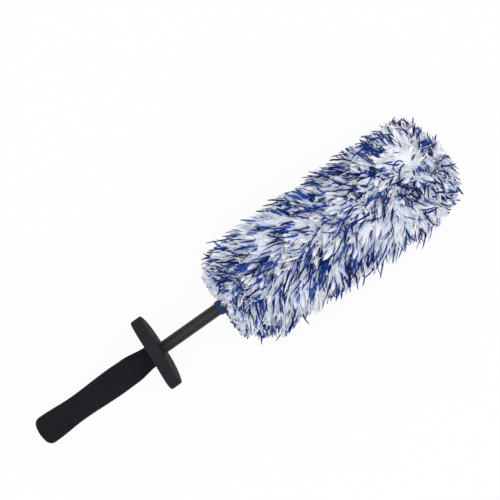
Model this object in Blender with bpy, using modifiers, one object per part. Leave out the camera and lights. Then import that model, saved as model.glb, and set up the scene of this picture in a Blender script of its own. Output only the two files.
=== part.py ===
"""Wheel brush with a foam grip, a sliding foam guard and a long head of two-tone pile.

The brush lies on its pile with its axis along +X and the butt of the grip at -X. Every piece is drawn in the
frame of the empty brush_axis: there Z is the station along the brush, measured from the butt, and X points
down at the floor.
"""

import math

import bmesh
import bpy
import numpy as np
from mathutils import Vector

# Whole brush, in metres
LENGTH = 0.450
FIT_GAP = 0.0003
ROUND_STEPS = 40
INNER_STEPS = 24

# Grip: stations from the butt and the radius there, at each swell, waist and shoulder
GRIP_LENGTH = 0.1237
GRIP_SHAPE = ((0.009, 0.0136), (0.042, 0.0120), (0.084, 0.0133), (0.100, 0.0130))
GRIP_NECK_RADIUS = 0.0103
GRIP_STEPS_PER_SPAN = 5
BUTT_CORNER = 0.0058
BUTT_DOME = 0.0012
BUTT_FLAT_RADIUS = 0.004

# Rod: a plastic tube, plugged inside the grip and capped inside the head
ROD_RADIUS = 0.0058
ROD_WALL = 0.0018
ROD_START = 0.016
ROD_END = 0.412
PLUG_FLANGE = 0.002
PLUG_BARBS = 3
PLUG_BARB_LENGTH = 0.004
PLUG_BARB_RAMP = 0.0032
PLUG_BARB_DEPTH = 0.0005
CAP_RADIUS = 0.009
CAP_GRIP = 0.012
CAP_NOSE = 0.006
CAP_EDGE = 0.004
CAP_TOP = ROD_END + FIT_GAP + CAP_NOSE

# Guard: a foam disc that slides on the rod
GUARD_RADIUS = 0.036
GUARD_THICKNESS = 0.011
GUARD_EDGE = 0.0016
GUARD_BACK = GRIP_LENGTH + FIT_GAP
GUARD_MOUTH = 0.0006

# Head: a sponge core in a sewn cover of pile cloth
HEAD_BASE = 0.216
HEAD_END = 0.424
BACKING_RADIUS = 0.026
BACKING_THICKNESS = 0.0014
CORE_RADIUS = BACKING_RADIUS - BACKING_THICKNESS - FIT_GAP
CORE_CORNER = 0.004
END_CROWN = 0.006
SEAM_GAP = 0.0012
THREAD_RADIUS = 0.0003
PANEL_GAP = 0.0005

# Cuff: the hem of the cover, tied round the rod
CUFF_START = 0.1985
CUFF_THICKNESS = 0.0005
CUFF_HEM_ROLL = 0.0003
BASE_HOLE_RADIUS = ROD_RADIUS + CUFF_THICKNESS + 2.0 * FIT_GAP
BASE_FRONT = 0.2075
CUFF_END = BASE_FRONT + BACKING_THICKNESS
TIE_STATION = 0.2042
TIE_WIDTH = 0.0026
TIE_THICKNESS = 0.0011
TIE_LOCK = (0.0024, 0.0042, 0.0034)

# Pile: tufts that stand out of the backing, then lean back towards the hand
PILE_RADIUS = 0.0535
PILE_ROWS = 28
PILE_COLUMNS = 26
PANEL_COLUMNS = 16
END_RINGS = 4
BASE_RINGS = 2
TUFT_STEPS = (0.5, 1.0)
TUFT_WIDTHS = (0.92, 0.42)
FLOW_SHARE = (0.0, 0.16, 0.6, 0.9, 1.0)
FLOW_BACK = (0.010, 0.024, 0.021, 0.008, -0.006)
FLOW_REACH = (0.46, 1.0, 1.0, 1.0, 0.93)
END_REACH = 0.021
END_SPREAD = 0.85
BASE_REACH = 0.0068
BASE_SPREAD = 0.5
TUFT_SWING = 0.003
TUFT_SHORTER = 0.10
TUFT_SEED = 12
BLUE_SHARE = 0.4
FACES_ALONG = 0.5
PRESSED_FLAT = 0.0002
AXIS_HEIGHT = PILE_RADIUS * math.cos(math.pi / PILE_COLUMNS) - PRESSED_FLAT

# Colours as linear red, green and blue, with roughness
FOAM_BLACK = ("foam_black", (0.015, 0.015, 0.018), 0.85)
GUARD_BLACK = ("guard_black", (0.026, 0.025, 0.029), 0.80)
ROD_BLACK = ("rod_black", (0.030, 0.030, 0.034), 0.42)
PLUG_BLACK = ("plug_black", (0.020, 0.020, 0.020), 0.50)
CAP_RUBBER = ("cap_rubber", (0.025, 0.025, 0.025), 0.75)
SPONGE_GREY = ("sponge_grey", (0.30, 0.31, 0.33), 0.95)
PILE_WHITE = ("pile_white", (0.70, 0.71, 0.78), 0.95)
PILE_BLUE = ("pile_blue", (0.012, 0.028, 0.22), 0.90)
CUFF_BLUE = ("cuff_blue", (0.016, 0.040, 0.150), 0.90)
TIE_NAVY = ("tie_navy", (0.012, 0.022, 0.070), 0.45)
THREAD_WHITE = ("thread_white", (0.60, 0.62, 0.70), 0.80)


def clear_scene():
    """Remove whatever the file holds."""
    for old in list(bpy.data.objects):
        bpy.data.objects.remove(old, do_unlink=True)


def new_collection(name):
    """Link a fresh collection to the scene."""
    group = bpy.data.collections.new(name)
    bpy.context.scene.collection.children.link(group)
    return group


def finish(name, colour, roughness):
    """Make a Principled material of one colour."""
    made = bpy.data.materials.new(name)
    made.use_nodes = True
    shader = made.node_tree.nodes["Principled BSDF"]
    shader.inputs["Base Color"].default_value = (*colour, 1.0)
    shader.inputs["Roughness"].default_value = roughness
    shader.inputs["Metallic"].default_value = 0.0
    return made


def add_piece(name, mesh, finishes, group, axis, station=0.0):
    """Put a mesh in the brush, with its origin on the axis at a station."""
    piece = bpy.data.objects.new(name, mesh)
    group.objects.link(piece)
    piece.parent = axis
    piece.location.z = station
    for look in finishes:
        mesh.materials.append(finish(*look))
    return piece


def arc(centre, radius, start, end, steps):
    """Points of a circular arc in the profile plane, from one angle to another in degrees."""
    points = []
    for step in range(steps + 1):
        angle = math.radians(start + (end - start) * step / steps)
        points.append((centre[0] + radius * math.cos(angle), centre[1] + radius * math.sin(angle)))
    return points


def turned(name, profile, steps, closed, looks, group, axis, station=0.0):
    """Turn a profile of (radius, station) points about the axis; its outer side runs from high to low."""
    mesh = bpy.data.meshes.new(name)
    edges = [(i, i + 1) for i in range(len(profile) - 1)]
    if closed:
        edges.append((len(profile) - 1, 0))
    mesh.from_pydata([(radius, 0.0, height) for radius, height in profile], edges, [])
    piece = add_piece(name, mesh, looks, group, axis, station)
    screw = piece.modifiers.new("Turn", "SCREW")
    screw.axis = "Z"
    screw.angle = math.tau
    screw.steps = steps
    screw.render_steps = steps
    screw.use_merge_vertices = True
    screw.merge_threshold = 0.00001
    screw.use_smooth_shade = True
    return piece


def grip_outline():
    """Outer side of the grip from the neck down to the butt, eased between its swells and waists."""
    spans = list(GRIP_SHAPE) + [(GRIP_LENGTH, GRIP_NECK_RADIUS)]
    points = []
    for (low, low_radius), (high, high_radius) in zip(spans, spans[1:]):
        for step in range(GRIP_STEPS_PER_SPAN):
            share = step / GRIP_STEPS_PER_SPAN
            ease = (1.0 - math.cos(math.pi * share)) / 2.0
            points.append((low_radius + (high_radius - low_radius) * ease, low + (high - low) * share))
    points.append((GRIP_NECK_RADIUS, GRIP_LENGTH))
    points.reverse()
    corner = (GRIP_SHAPE[0][1] - BUTT_CORNER, BUTT_DOME + BUTT_CORNER)
    return points + arc(corner, BUTT_CORNER, 0.0, -90.0, 5) + [(BUTT_FLAT_RADIUS, 0.0), (0.0, 0.0)]


def make_grip(group, axis):
    """Foam grip with a blind bore for the rod and its plug."""
    bore = ROD_RADIUS + FIT_GAP
    floor = ROD_START - PLUG_FLANGE - 2.0 * FIT_GAP
    profile = [(0.0, floor), (bore, floor), (bore, GRIP_LENGTH)] + grip_outline()
    return turned("grip", profile, ROUND_STEPS, False, [FOAM_BLACK], group, axis)


def make_rod(group, axis):
    """Plastic tube with its ends eased."""
    inner = ROD_RADIUS - ROD_WALL
    ease = ROD_WALL / 4.0
    profile = [
        (ROD_RADIUS - ease, ROD_END),
        (ROD_RADIUS, ROD_END - ease),
        (ROD_RADIUS, ROD_START + ease),
        (ROD_RADIUS - ease, ROD_START),
        (inner, ROD_START),
        (inner, ROD_END),
    ]
    return turned("rod", profile, INNER_STEPS, True, [ROD_BLACK], group, axis)


def make_butt_plug(group, axis):
    """Barbed plug in the butt end of the rod, with a flange that covers the tube's wall."""
    seat = ROD_START - FIT_GAP
    shank = ROD_RADIUS - ROD_WALL - FIT_GAP
    top = seat + PLUG_BARBS * PLUG_BARB_LENGTH
    profile = [(0.0, top)]
    for barb in range(PLUG_BARBS):
        high = top - barb * PLUG_BARB_LENGTH
        profile.append((shank - PLUG_BARB_DEPTH, high))
        profile.append((shank, high - PLUG_BARB_RAMP))
    profile.append((shank - PLUG_BARB_DEPTH, seat))
    profile.append((ROD_RADIUS, seat))
    profile.append((ROD_RADIUS, seat - PLUG_FLANGE))
    profile.append((0.0, seat - PLUG_FLANGE))
    return turned("butt_plug", profile, INNER_STEPS, False, [PLUG_BLACK], group, axis)


def make_tip_cap(group, axis):
    """Rubber cup over the far end of the rod, with a round nose."""
    bore = ROD_RADIUS + FIT_GAP
    floor = ROD_END + FIT_GAP
    rim = ROD_END - CAP_GRIP
    nose = arc((CAP_RADIUS - CAP_EDGE, CAP_TOP - CAP_EDGE), CAP_EDGE, 90.0, 0.0, 4)
    cup = [(CAP_RADIUS, rim), (bore, rim), (bore, floor), (0.0, floor)]
    profile = [(0.0, CAP_TOP)] + nose + cup
    return turned("tip_cap", profile, INNER_STEPS, False, [CAP_RUBBER], group, axis)


def make_guard(group, axis):
    """Foam disc with soft edges; its origin is on the slide axis at its back face."""
    bore = ROD_RADIUS + FIT_GAP
    middle = GUARD_RADIUS - GUARD_EDGE
    front = arc((middle, GUARD_THICKNESS - GUARD_EDGE), GUARD_EDGE, 90.0, 0.0, 4)
    back = arc((middle, GUARD_EDGE), GUARD_EDGE, 0.0, -90.0, 4)
    mouth = [
        (bore + GUARD_MOUTH, 0.0),
        (bore, GUARD_MOUTH),
        (bore, GUARD_THICKNESS - GUARD_MOUTH),
        (bore + GUARD_MOUTH, GUARD_THICKNESS),
    ]
    section = front + back + mouth
    return turned("guard_disc", section, ROUND_STEPS, True, [GUARD_BLACK], group, axis, GUARD_BACK)


def make_head_core(group, axis):
    """Sponge cylinder, domed at the far end and hollow where the rod and its cap sit."""
    bore = ROD_RADIUS + FIT_GAP
    pocket = CAP_RADIUS + FIT_GAP
    pocket_start = ROD_END - CAP_GRIP - FIT_GAP
    pocket_end = CAP_TOP + FIT_GAP
    crown = HEAD_END + SEAM_GAP + END_CROWN - BACKING_THICKNESS - PANEL_GAP
    shoulder = HEAD_END - CORE_CORNER
    corner = arc((CORE_RADIUS - CORE_CORNER, shoulder), CORE_CORNER, 90.0, 0.0, 4)
    profile = [(0.0, crown), (CORE_RADIUS / 2.0, (HEAD_END + crown) / 2.0)] + corner
    profile.append((CORE_RADIUS, HEAD_BASE))
    profile.append((bore, HEAD_BASE))
    profile.append((bore, pocket_start))
    profile.append((pocket, pocket_start))
    profile.append((pocket, pocket_end))
    profile.append((0.0, pocket_end))
    return turned("head_core", profile, PILE_COLUMNS, False, [SPONGE_GREY], group, axis)


def make_cuff(group, axis):
    """Thin cloth cuff on the rod, with a rolled hem at its hand end and the cover's base round the other."""
    inner = ROD_RADIUS + FIT_GAP
    outer = inner + CUFF_THICKNESS
    hem = arc((outer, CUFF_START + CUFF_HEM_ROLL), CUFF_HEM_ROLL, 90.0, -90.0, 4)
    profile = [(outer, CUFF_END)] + hem + [(inner, CUFF_START), (inner, CUFF_END)]
    return turned("cover_cuff", profile, INNER_STEPS, True, [CUFF_BLUE], group, axis)


def make_tie(group, cutters, axis):
    """Nylon tie round the cuff: a band with its lock block turned under the rod."""
    inner = ROD_RADIUS + CUFF_THICKNESS + 2.0 * FIT_GAP
    outer = inner + TIE_THICKNESS
    low = TIE_STATION - TIE_WIDTH / 2.0
    high = TIE_STATION + TIE_WIDTH / 2.0
    section = [(outer, high), (outer, low), (inner, low), (inner, high)]
    band = turned("cuff_tie", section, INNER_STEPS, True, [TIE_NAVY], group, axis)
    mesh = bpy.data.meshes.new("tie_lock")
    block = bmesh.new()
    bmesh.ops.create_cube(block, size=1.0)
    bmesh.ops.scale(block, vec=TIE_LOCK, verts=block.verts)
    bmesh.ops.translate(block, vec=(outer + TIE_LOCK[0] / 4.0, 0.0, TIE_STATION), verts=block.verts)
    block.to_mesh(mesh)
    block.free()
    lock = add_piece("tie_lock", mesh, [TIE_NAVY], cutters, axis)
    lock.hide_render = True
    lock.display_type = "WIRE"
    join = band.modifiers.new("Lock", "BOOLEAN")
    join.operation = "UNION"
    join.solver = "EXACT"
    join.object = lock
    return band


def make_seam(name, station, group, axis):
    """Sewn thread that lies in the gap between two panels of the cover."""
    path = bpy.data.curves.new(name, "CURVE")
    path.dimensions = "3D"
    path.bevel_depth = THREAD_RADIUS
    path.bevel_resolution = 1
    ring = path.splines.new("POLY")
    ring.points.add(PILE_COLUMNS - 1)
    radius = CORE_RADIUS + FIT_GAP + BACKING_THICKNESS / 2.0
    for index, point in enumerate(ring.points):
        angle = math.tau * index / PILE_COLUMNS
        point.co = (radius * math.cos(angle), radius * math.sin(angle), station, 1.0)
    ring.use_cyclic_u = True
    return add_piece(name, path, [THREAD_WHITE], group, axis)


def bake_mesh(piece):
    """Replace a piece's profile and modifiers by the mesh that they make."""
    bpy.context.view_layer.update()
    graph = bpy.context.evaluated_depsgraph_get()
    mesh = bpy.data.meshes.new_from_object(piece.evaluated_get(graph))
    piece.modifiers.clear()
    piece.data = mesh
    return mesh


def grow_pile(piece, pick_cell, tip_of, draw):
    """Draw tufts out of the backing's cells: each leaves square to the cloth, then bends over to its tip.

    pick_cell gives a cell's row and column, or None where no tuft grows; tip_of gives how far a tuft's tip
    lies out from the axis, along it and round it, from its root.
    """
    mesh = bake_mesh(piece)
    cloth = bmesh.new()
    cloth.from_mesh(mesh)
    for cell in list(cloth.faces):
        place = pick_cell(cell)
        if place is None or sum(place) % 2:
            continue
        root = cell.calc_center_median()
        corners = [corner.co - root for corner in cell.verts]
        outward = Vector((root.x, root.y, 0.0)).normalized()
        around = Vector((-outward.y, outward.x, 0.0))
        out, along, swing = tip_of(root, draw)
        blue = int(draw.random() < BLUE_SHARE)
        for step, width in zip(TUFT_STEPS, TUFT_WIDTHS):
            cell = bmesh.ops.extrude_discrete_faces(cloth, faces=[cell])["faces"][0]
            middle = root + outward * (out * step * (2.0 - step)) + around * (swing * step**2)
            middle.z += along * step**2
            for vert, corner in zip(cell.verts, corners):
                vert.co = middle + corner * width
                vert.co.x = min(vert.co.x, AXIS_HEIGHT)
            for edge in cell.edges:
                for side in edge.link_faces:
                    side.material_index = blue
    cloth.to_mesh(mesh)
    cloth.free()


def column_of(root, columns):
    """Number of the column, counted round the axis from straight down, that a point lies in."""
    return int((math.atan2(root.y, root.x) % math.tau) / math.tau * columns)


def make_cover_side(group, axis, draw):
    """Sleeve of pile cloth; its tufts lean towards the hand, and stand up near the far end."""
    pitch = (HEAD_END - HEAD_BASE) / PILE_ROWS
    inner = BACKING_RADIUS - BACKING_THICKNESS
    profile = [(BACKING_RADIUS, HEAD_END - row * pitch) for row in range(PILE_ROWS + 1)]
    profile += [(inner, HEAD_BASE), (inner, HEAD_END)]
    sleeve = turned("cover_side", profile, PILE_COLUMNS, True, [PILE_WHITE, PILE_BLUE], group, axis)

    def pick_cell(cell):
        root = cell.calc_center_median()
        if root.xy.length < BACKING_RADIUS - BACKING_THICKNESS / 2.0:
            return None
        return int((root.z - HEAD_BASE) / pitch), column_of(root, PILE_COLUMNS)

    def tip_of(root, draw):
        share = (root.z - HEAD_BASE) / (HEAD_END - HEAD_BASE)
        full = (PILE_RADIUS - root.xy.length) * np.interp(share, FLOW_SHARE, FLOW_REACH)
        back = np.interp(share, FLOW_SHARE, FLOW_BACK)
        swing = draw.uniform(-TUFT_SWING, TUFT_SWING)
        shorter = draw.uniform(0.0, TUFT_SHORTER)
        stray = draw.uniform(-TUFT_SWING, TUFT_SWING)
        rests_on_floor = root.x > BACKING_RADIUS * math.cos(math.tau / PILE_COLUMNS)
        if rests_on_floor:
            return full, -back, 0.0
        return full * (1.0 - shorter), stray - back, swing

    grow_pile(sleeve, pick_cell, tip_of, draw)
    return sleeve


def make_cover_end(group, axis, draw):
    """Domed round panel that closes the far end; its tufts fan out ahead of the rod."""
    rim = HEAD_END + SEAM_GAP
    inner_radius = BACKING_RADIUS - BACKING_THICKNESS
    outer_side = []
    for ring in range(END_RINGS + 1):
        share = ring / END_RINGS
        outer_side.append((BACKING_RADIUS * share, rim + END_CROWN * (1.0 - share**2)))
    crown = rim + END_CROWN - BACKING_THICKNESS
    inner_side = [(inner_radius, rim), (inner_radius / 2.0, crown - END_CROWN / 4.0), (0.0, crown)]
    looks = [PILE_WHITE, PILE_BLUE]
    panel = turned("cover_end", outer_side + inner_side, PANEL_COLUMNS, False, looks, group, axis)

    def pick_cell(cell):
        root = cell.calc_center_median()
        ring = int(root.xy.length / (BACKING_RADIUS / END_RINGS))
        if cell.normal.z < FACES_ALONG or ring == 0:
            return None
        return ring, column_of(root, PANEL_COLUMNS)

    def tip_of(root, draw):
        share = root.xy.length / BACKING_RADIUS
        ahead = END_REACH * math.sqrt(1.0 - (END_SPREAD * share) ** 2)
        swing = draw.uniform(-TUFT_SWING, TUFT_SWING)
        return END_SPREAD * root.xy.length, ahead, swing

    grow_pile(panel, pick_cell, tip_of, draw)
    return panel


def make_cover_base(group, axis, draw):
    """Gathered base of the cover, a cone from the sleeve down to the cuff; its tufts point at the hand."""
    rim = HEAD_BASE - SEAM_GAP
    outer_side = []
    for ring in range(BASE_RINGS + 1):
        share = ring / BASE_RINGS
        radius = BACKING_RADIUS + (BASE_HOLE_RADIUS - BACKING_RADIUS) * share
        outer_side.append((radius, rim + (BASE_FRONT - rim) * share))
    inner_side = [(BASE_HOLE_RADIUS, BASE_FRONT + BACKING_THICKNESS)]
    inner_side.append((BACKING_RADIUS - BACKING_THICKNESS, rim))
    looks = [PILE_WHITE, PILE_BLUE]
    panel = turned("cover_base", outer_side + inner_side, PANEL_COLUMNS, True, looks, group, axis)
    ring_width = (BACKING_RADIUS - BASE_HOLE_RADIUS) / BASE_RINGS

    def pick_cell(cell):
        root = cell.calc_center_median()
        if cell.normal.z > -FACES_ALONG:
            return None
        return int((root.xy.length - BASE_HOLE_RADIUS) / ring_width), column_of(root, PANEL_COLUMNS)

    def tip_of(root, draw):
        swing = draw.uniform(-TUFT_SWING, TUFT_SWING) * BASE_SPREAD
        return BASE_SPREAD * root.xy.length, -BASE_REACH, swing

    grow_pile(panel, pick_cell, tip_of, draw)
    return panel


def main():
    clear_scene()
    brush = new_collection("wheel_brush")
    cutters = new_collection("wheel_brush_cutters")
    axis = bpy.data.objects.new("brush_axis", None)
    brush.objects.link(axis)
    axis.location = (-LENGTH / 2.0, 0.0, AXIS_HEIGHT)
    axis.rotation_euler = (0.0, math.pi / 2.0, 0.0)
    draw = np.random.default_rng(TUFT_SEED)

    make_grip(brush, axis)
    make_rod(brush, axis)
    make_butt_plug(brush, axis)
    make_tip_cap(brush, axis)
    make_guard(brush, axis)
    make_head_core(brush, axis)
    make_cuff(brush, axis)
    make_tie(brush, cutters, axis)
    make_seam("end_seam_thread", HEAD_END + SEAM_GAP / 2.0, brush, axis)
    make_seam("base_seam_thread", HEAD_BASE - SEAM_GAP / 2.0, brush, axis)
    make_cover_side(brush, axis, draw)
    make_cover_end(brush, axis, draw)
    make_cover_base(brush, axis, draw)


main()
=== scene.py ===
"""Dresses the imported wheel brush: foam grip and guard, satin rod, cloth cuff and a shaggy two-tone pile head.

Every size is in metres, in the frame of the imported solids. A station is a distance along the brush from the
butt of the grip, and an angle round the brush is counted from straight up towards +Y.
"""

import sys

import logging
import math
from dataclasses import dataclass
from dataclasses import field
from dataclasses import replace
from enum import Enum
from typing import Callable
from typing import Sequence

import bpy
import numpy as np
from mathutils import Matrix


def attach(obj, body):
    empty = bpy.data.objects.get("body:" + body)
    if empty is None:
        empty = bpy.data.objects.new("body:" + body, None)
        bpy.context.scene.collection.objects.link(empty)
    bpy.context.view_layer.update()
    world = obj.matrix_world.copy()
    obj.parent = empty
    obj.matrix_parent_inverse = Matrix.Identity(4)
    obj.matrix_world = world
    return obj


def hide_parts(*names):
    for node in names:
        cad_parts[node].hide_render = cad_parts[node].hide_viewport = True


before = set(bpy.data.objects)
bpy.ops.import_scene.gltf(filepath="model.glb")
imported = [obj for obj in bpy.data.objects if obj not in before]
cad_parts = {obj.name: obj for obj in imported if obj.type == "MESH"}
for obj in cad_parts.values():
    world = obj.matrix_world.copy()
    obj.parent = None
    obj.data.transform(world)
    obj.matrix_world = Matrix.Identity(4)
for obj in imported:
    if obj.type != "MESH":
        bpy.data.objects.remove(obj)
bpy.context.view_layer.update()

LOG = logging.getLogger("wheel_brush")

Point = tuple[float, float]
Spot = tuple[float, float, float]
Colour = tuple[float, float, float]
Row = tuple[float, ...]
Stops = tuple[tuple[float, Colour], ...]
Array = np.ndarray
Ways = tuple[Array, Array]
Lay = tuple[Array, Array, Array]
Socket = bpy.types.NodeSocket
Piece = bpy.types.Object

BUTT_X = -0.225
AXIS_HEIGHT = 0.0529099
FIT_GAP = 0.0003
ROD_RADIUS = 0.0058
BORE_RADIUS = ROD_RADIUS + FIT_GAP
END_SEAM = 0.4246
BASE_SEAM = 0.2154
MERGE_DISTANCE = 0.000001
STARTER_SIZE = 0.001
SMALL_LENGTH = 0.001
LEAST_LEAN = 0.00001
SMOOTH_DETAIL = 2.0
PLAIN_DETAIL = 3.0
RICH_DETAIL = 4.0
BAKE_MAP = "OFBake"


class Body(Enum):
    """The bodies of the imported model."""

    HANDLE = "handle"
    GUARD = "guard"


class Slot(Enum):
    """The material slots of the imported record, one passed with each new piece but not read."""

    GRIP = "grip_foam"
    GUARD = "guard_foam"
    CORE = "core_sponge"
    PILE = "pile"
    CUFF = "cuff_cloth"
    THREAD = "thread"


class Panel(Enum):
    """The three pile-covered panels of the head, by the solids they replace."""

    SLEEVE = "cover_side"
    END = "cover_end"
    BASE = "cover_base"


class Held(Enum):
    """How a cloth piece is held in place."""

    STRETCHED = "stretched"
    GATHERED = "gathered"


class NodeBoard:
    """A material's node tree, with the few kinds of node that the finishes share."""

    def __init__(self, name: str) -> None:
        """Starts a material with one shader.

        Args:
            name: The material's name.
        """
        self.material = bpy.data.materials.new(name)
        self.material.use_nodes = True
        self.tree = self.material.node_tree
        self.shader = self.tree.nodes["Principled BSDF"]

    def add(self, kind: str, **settings: object) -> bpy.types.Node:
        """Adds a node and sets its properties.

        Args:
            kind: The node's kind.
            settings: Values of its properties.

        Returns:
            The node.
        """
        node = self.tree.nodes.new(kind)
        for key, value in settings.items():
            setattr(node, key, value)
        return node

    def link(self, source: Socket, target: Socket) -> None:
        """Joins two sockets."""
        self.tree.links.new(source, target)

    def feed(self, target: Socket, value: object) -> None:
        """Links an input to a socket, or sets it to a value.

        Args:
            target: The input.
            value: A socket or a plain value.
        """
        if isinstance(value, Socket):
            self.link(value, target)
        else:
            target.default_value = value

    def set(self, **values: object) -> None:
        """Links or sets inputs of the shader; underscores stand for spaces."""
        for key, value in values.items():
            self.feed(self.shader.inputs[key.replace("_", " ")], value)

    def made(self, kind: str, output: str, **values: object) -> Socket:
        """Adds a node, links or sets its inputs by name, and returns one of its outputs.

        Args:
            kind: The node's kind.
            output: The output's name.
            values: A socket or a value for each input; underscores stand for spaces.

        Returns:
            The output's socket.
        """
        node = self.add(kind)
        for key, value in values.items():
            self.feed(node.inputs[key.replace("_", " ")], value)
        return node.outputs[output]

    def place(self) -> Socket:
        """Returns object coordinates moved so that the brush axis is at the origin."""
        where = self.made("ShaderNodeTexCoord", "Object")
        return self.made("ShaderNodeMapping", "Vector", Vector=where, Location=(0.0, 0.0, -AXIS_HEIGHT))

    def stretch(self, where: Socket, scale: Spot) -> Socket:
        """Returns coordinates multiplied by a scale on each axis."""
        return self.made("ShaderNodeMapping", "Vector", Vector=where, Scale=scale)

    def math(self, operation: str, *values: object) -> Socket:
        """Adds a math node.

        Args:
            operation: The node's operation.
            values: A socket or a number for each input.

        Returns:
            The result's socket.
        """
        node = self.add("ShaderNodeMath", operation=operation)
        for slot, value in zip(node.inputs, values):
            self.feed(slot, value)
        return node.outputs["Value"]

    def sum(self, first: Socket, weight: float, second: Socket, other: float) -> Socket:
        """Returns the sum of two numbers, each times its own weight."""
        return self.math("MULTIPLY_ADD", first, weight, self.math("MULTIPLY", second, other))

    def wave(self, phase: Socket) -> Socket:
        """Returns a wave from 0 to 1 of a phase in radians."""
        return self.math("MULTIPLY_ADD", self.math("SINE", phase), 0.5, 0.5)

    def split(self, vector: Socket) -> tuple[Socket, ...]:
        """Splits a vector.

        Args:
            vector: The vector.

        Returns:
            Its three parts.
        """
        node = self.add("ShaderNodeSeparateXYZ")
        self.link(vector, node.inputs["Vector"])
        return tuple(node.outputs)

    def unroll(self, where: Socket) -> tuple[Socket, Socket]:
        """Returns the place along the brush and the angle round its axis."""
        along, across, up = self.split(where)
        return along, self.math("ARCTAN2", across, up)

    def noise(self, where: Socket, scale: float, detail: float = PLAIN_DETAIL) -> Socket:
        """Returns soft noise from 0 to 1 at a scale in cells a metre."""
        return self.made("ShaderNodeTexNoise", "Fac", Vector=where, Scale=scale, Detail=detail)

    def cells(self, where: Socket, scale: float) -> Socket:
        """Returns the distance to the nearest cell centre, at a scale in cells a metre."""
        return self.made("ShaderNodeTexVoronoi", "Distance", Vector=where, Scale=scale)

    def spread(self, factor: Socket, ends: Point) -> Socket:
        """Returns a number from 0 to 1 stretched to run between two ends."""
        return self.made("ShaderNodeMapRange", "Result", Value=factor, To_Min=ends[0], To_Max=ends[1])

    def ramp(self, factor: Socket, stops: Stops) -> Socket:
        """Runs a number through a band of colours.

        Args:
            factor: The number.
            stops: Places and colours of the band.

        Returns:
            The colour's socket.
        """
        node = self.add("ShaderNodeValToRGB")
        band = node.color_ramp
        while len(band.elements) < len(stops):
            band.elements.new(1.0)
        for element, (place, colour) in zip(band.elements, stops):
            element.position = place
            element.color = (*colour, 1.0)
        self.link(factor, node.inputs["Fac"])
        return node.outputs["Color"]

    def two_tone(self, factor: Socket, span: Point, dark: Colour, light: Colour) -> Socket:
        """Returns a colour that goes from dark to light over a span of a number."""
        return self.ramp(factor, ((span[0], dark), (span[1], light)))

    def blend(self, mode: str, amount: object, first: Socket, second: Socket) -> Socket:
        """Mixes two colours.

        Args:
            mode: The blend type.
            amount: A socket or a number.
            first: The colour below.
            second: The colour on top.

        Returns:
            The mixed colour's socket.
        """
        node = self.add("ShaderNodeMix", data_type="RGBA", blend_type=mode)
        self.feed(node.inputs[0], amount)
        self.link(first, node.inputs[6])
        self.link(second, node.inputs[7])
        return node.outputs[2]

    def relief(self, height: Socket, depth: float) -> Socket:
        """Returns normals of a relief of that depth in metres."""
        return self.made("ShaderNodeBump", "Normal", Height=height, Distance=depth)


@dataclass(frozen=True)
class Finish:
    """A finish that any number of pieces can share.

    Attributes:
        name: The material's name.
    """

    name: str

    def material(self) -> bpy.types.Material:
        """Makes the finish's material the first time that it is asked for.

        Returns:
            The material.
        """
        full_name = f"{self.name}_finish"
        found = bpy.data.materials.get(full_name)
        if found is not None:
            return found
        board = NodeBoard(full_name)
        self.wire(board)
        return board.material

    def wire(self, board: NodeBoard) -> None:
        """Wires the finish's nodes."""
        raise NotImplementedError


@dataclass(frozen=True)
class FoamFinish(Finish):
    """Closed-cell foam: matt, with a fine cell grain and faint handling marks.

    Attributes:
        deep: Colour down in the cells, painted shade.
        walls_and_wear: Colour of the cell walls and of the handling marks.
        skin_and_sheen: Colour of flat moulded faces, lighter partly for their moulded surface and partly as
            painted sheen, or None where the whole piece is alike.
        skin_radius: Radius round the axis inside which the skin shows.
        cell: Cells a metre.
        relief: Depth of the grain.
        fine: Fine grains over the length of a cell.
        blotches: Handling marks a metre.
        shares: How much the cells and the handling marks count in the shade.
        span: Shades between which the colour changes.
        dull: Roughness between and on the handling marks.
        gloss: Specular level.
        skin_worn: How much lighter the skin is on the cell walls.
    """

    deep: Colour
    walls_and_wear: Colour
    skin_and_sheen: Colour | None = None
    skin_radius: float = 0.0
    cell: float = 2400.0
    relief: float = 0.00012
    fine: float = 0.6
    blotches: float = 70.0
    shares: Point = (0.7, 0.5)
    span: Point = (0.25, 0.75)
    dull: Point = (0.78, 0.97)
    gloss: float = 0.06
    skin_worn: float = 1.2

    def wire(self, board: NodeBoard) -> None:
        """Wires cell grain with shade painted down in the cells, blotches, and the lighter flat faces with
        their painted sheen.

        Args:
            board: The material's node tree.
        """
        where = board.place()
        grain = board.cells(where, self.cell)
        blotch = board.noise(where, self.blotches, RICH_DETAIL)
        fine = board.noise(where, self.cell * self.fine, SMOOTH_DETAIL)
        shade = board.sum(grain, self.shares[0], blotch, self.shares[1])
        # Low in the cells the colour goes to the darker one: painted shade; the blotches are handling marks.
        colour = board.two_tone(shade, self.span, self.deep, self.walls_and_wear)
        # Flat faces take a lighter colour: their moulded surface, with its sheen painted into the colour.
        if self.skin_and_sheen is not None:
            _, across, up = board.split(where)
            squares = (board.math("POWER", across, 2.0), board.math("POWER", up, 2.0))
            radius = board.math("SQRT", board.math("ADD", *squares))
            inside = board.math("LESS_THAN", radius, self.skin_radius)
            light = tuple(self.skin_worn * part for part in self.skin_and_sheen)
            face = board.two_tone(shade, self.span, self.skin_and_sheen, light)
            colour = board.blend("MIX", inside, colour, face)
        normal = board.relief(board.math("ADD", grain, fine), self.relief)
        board.set(Base_Color=colour, Roughness=board.spread(blotch, self.dull), Normal=normal)
        board.set(Specular_IOR_Level=self.gloss)


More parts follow.
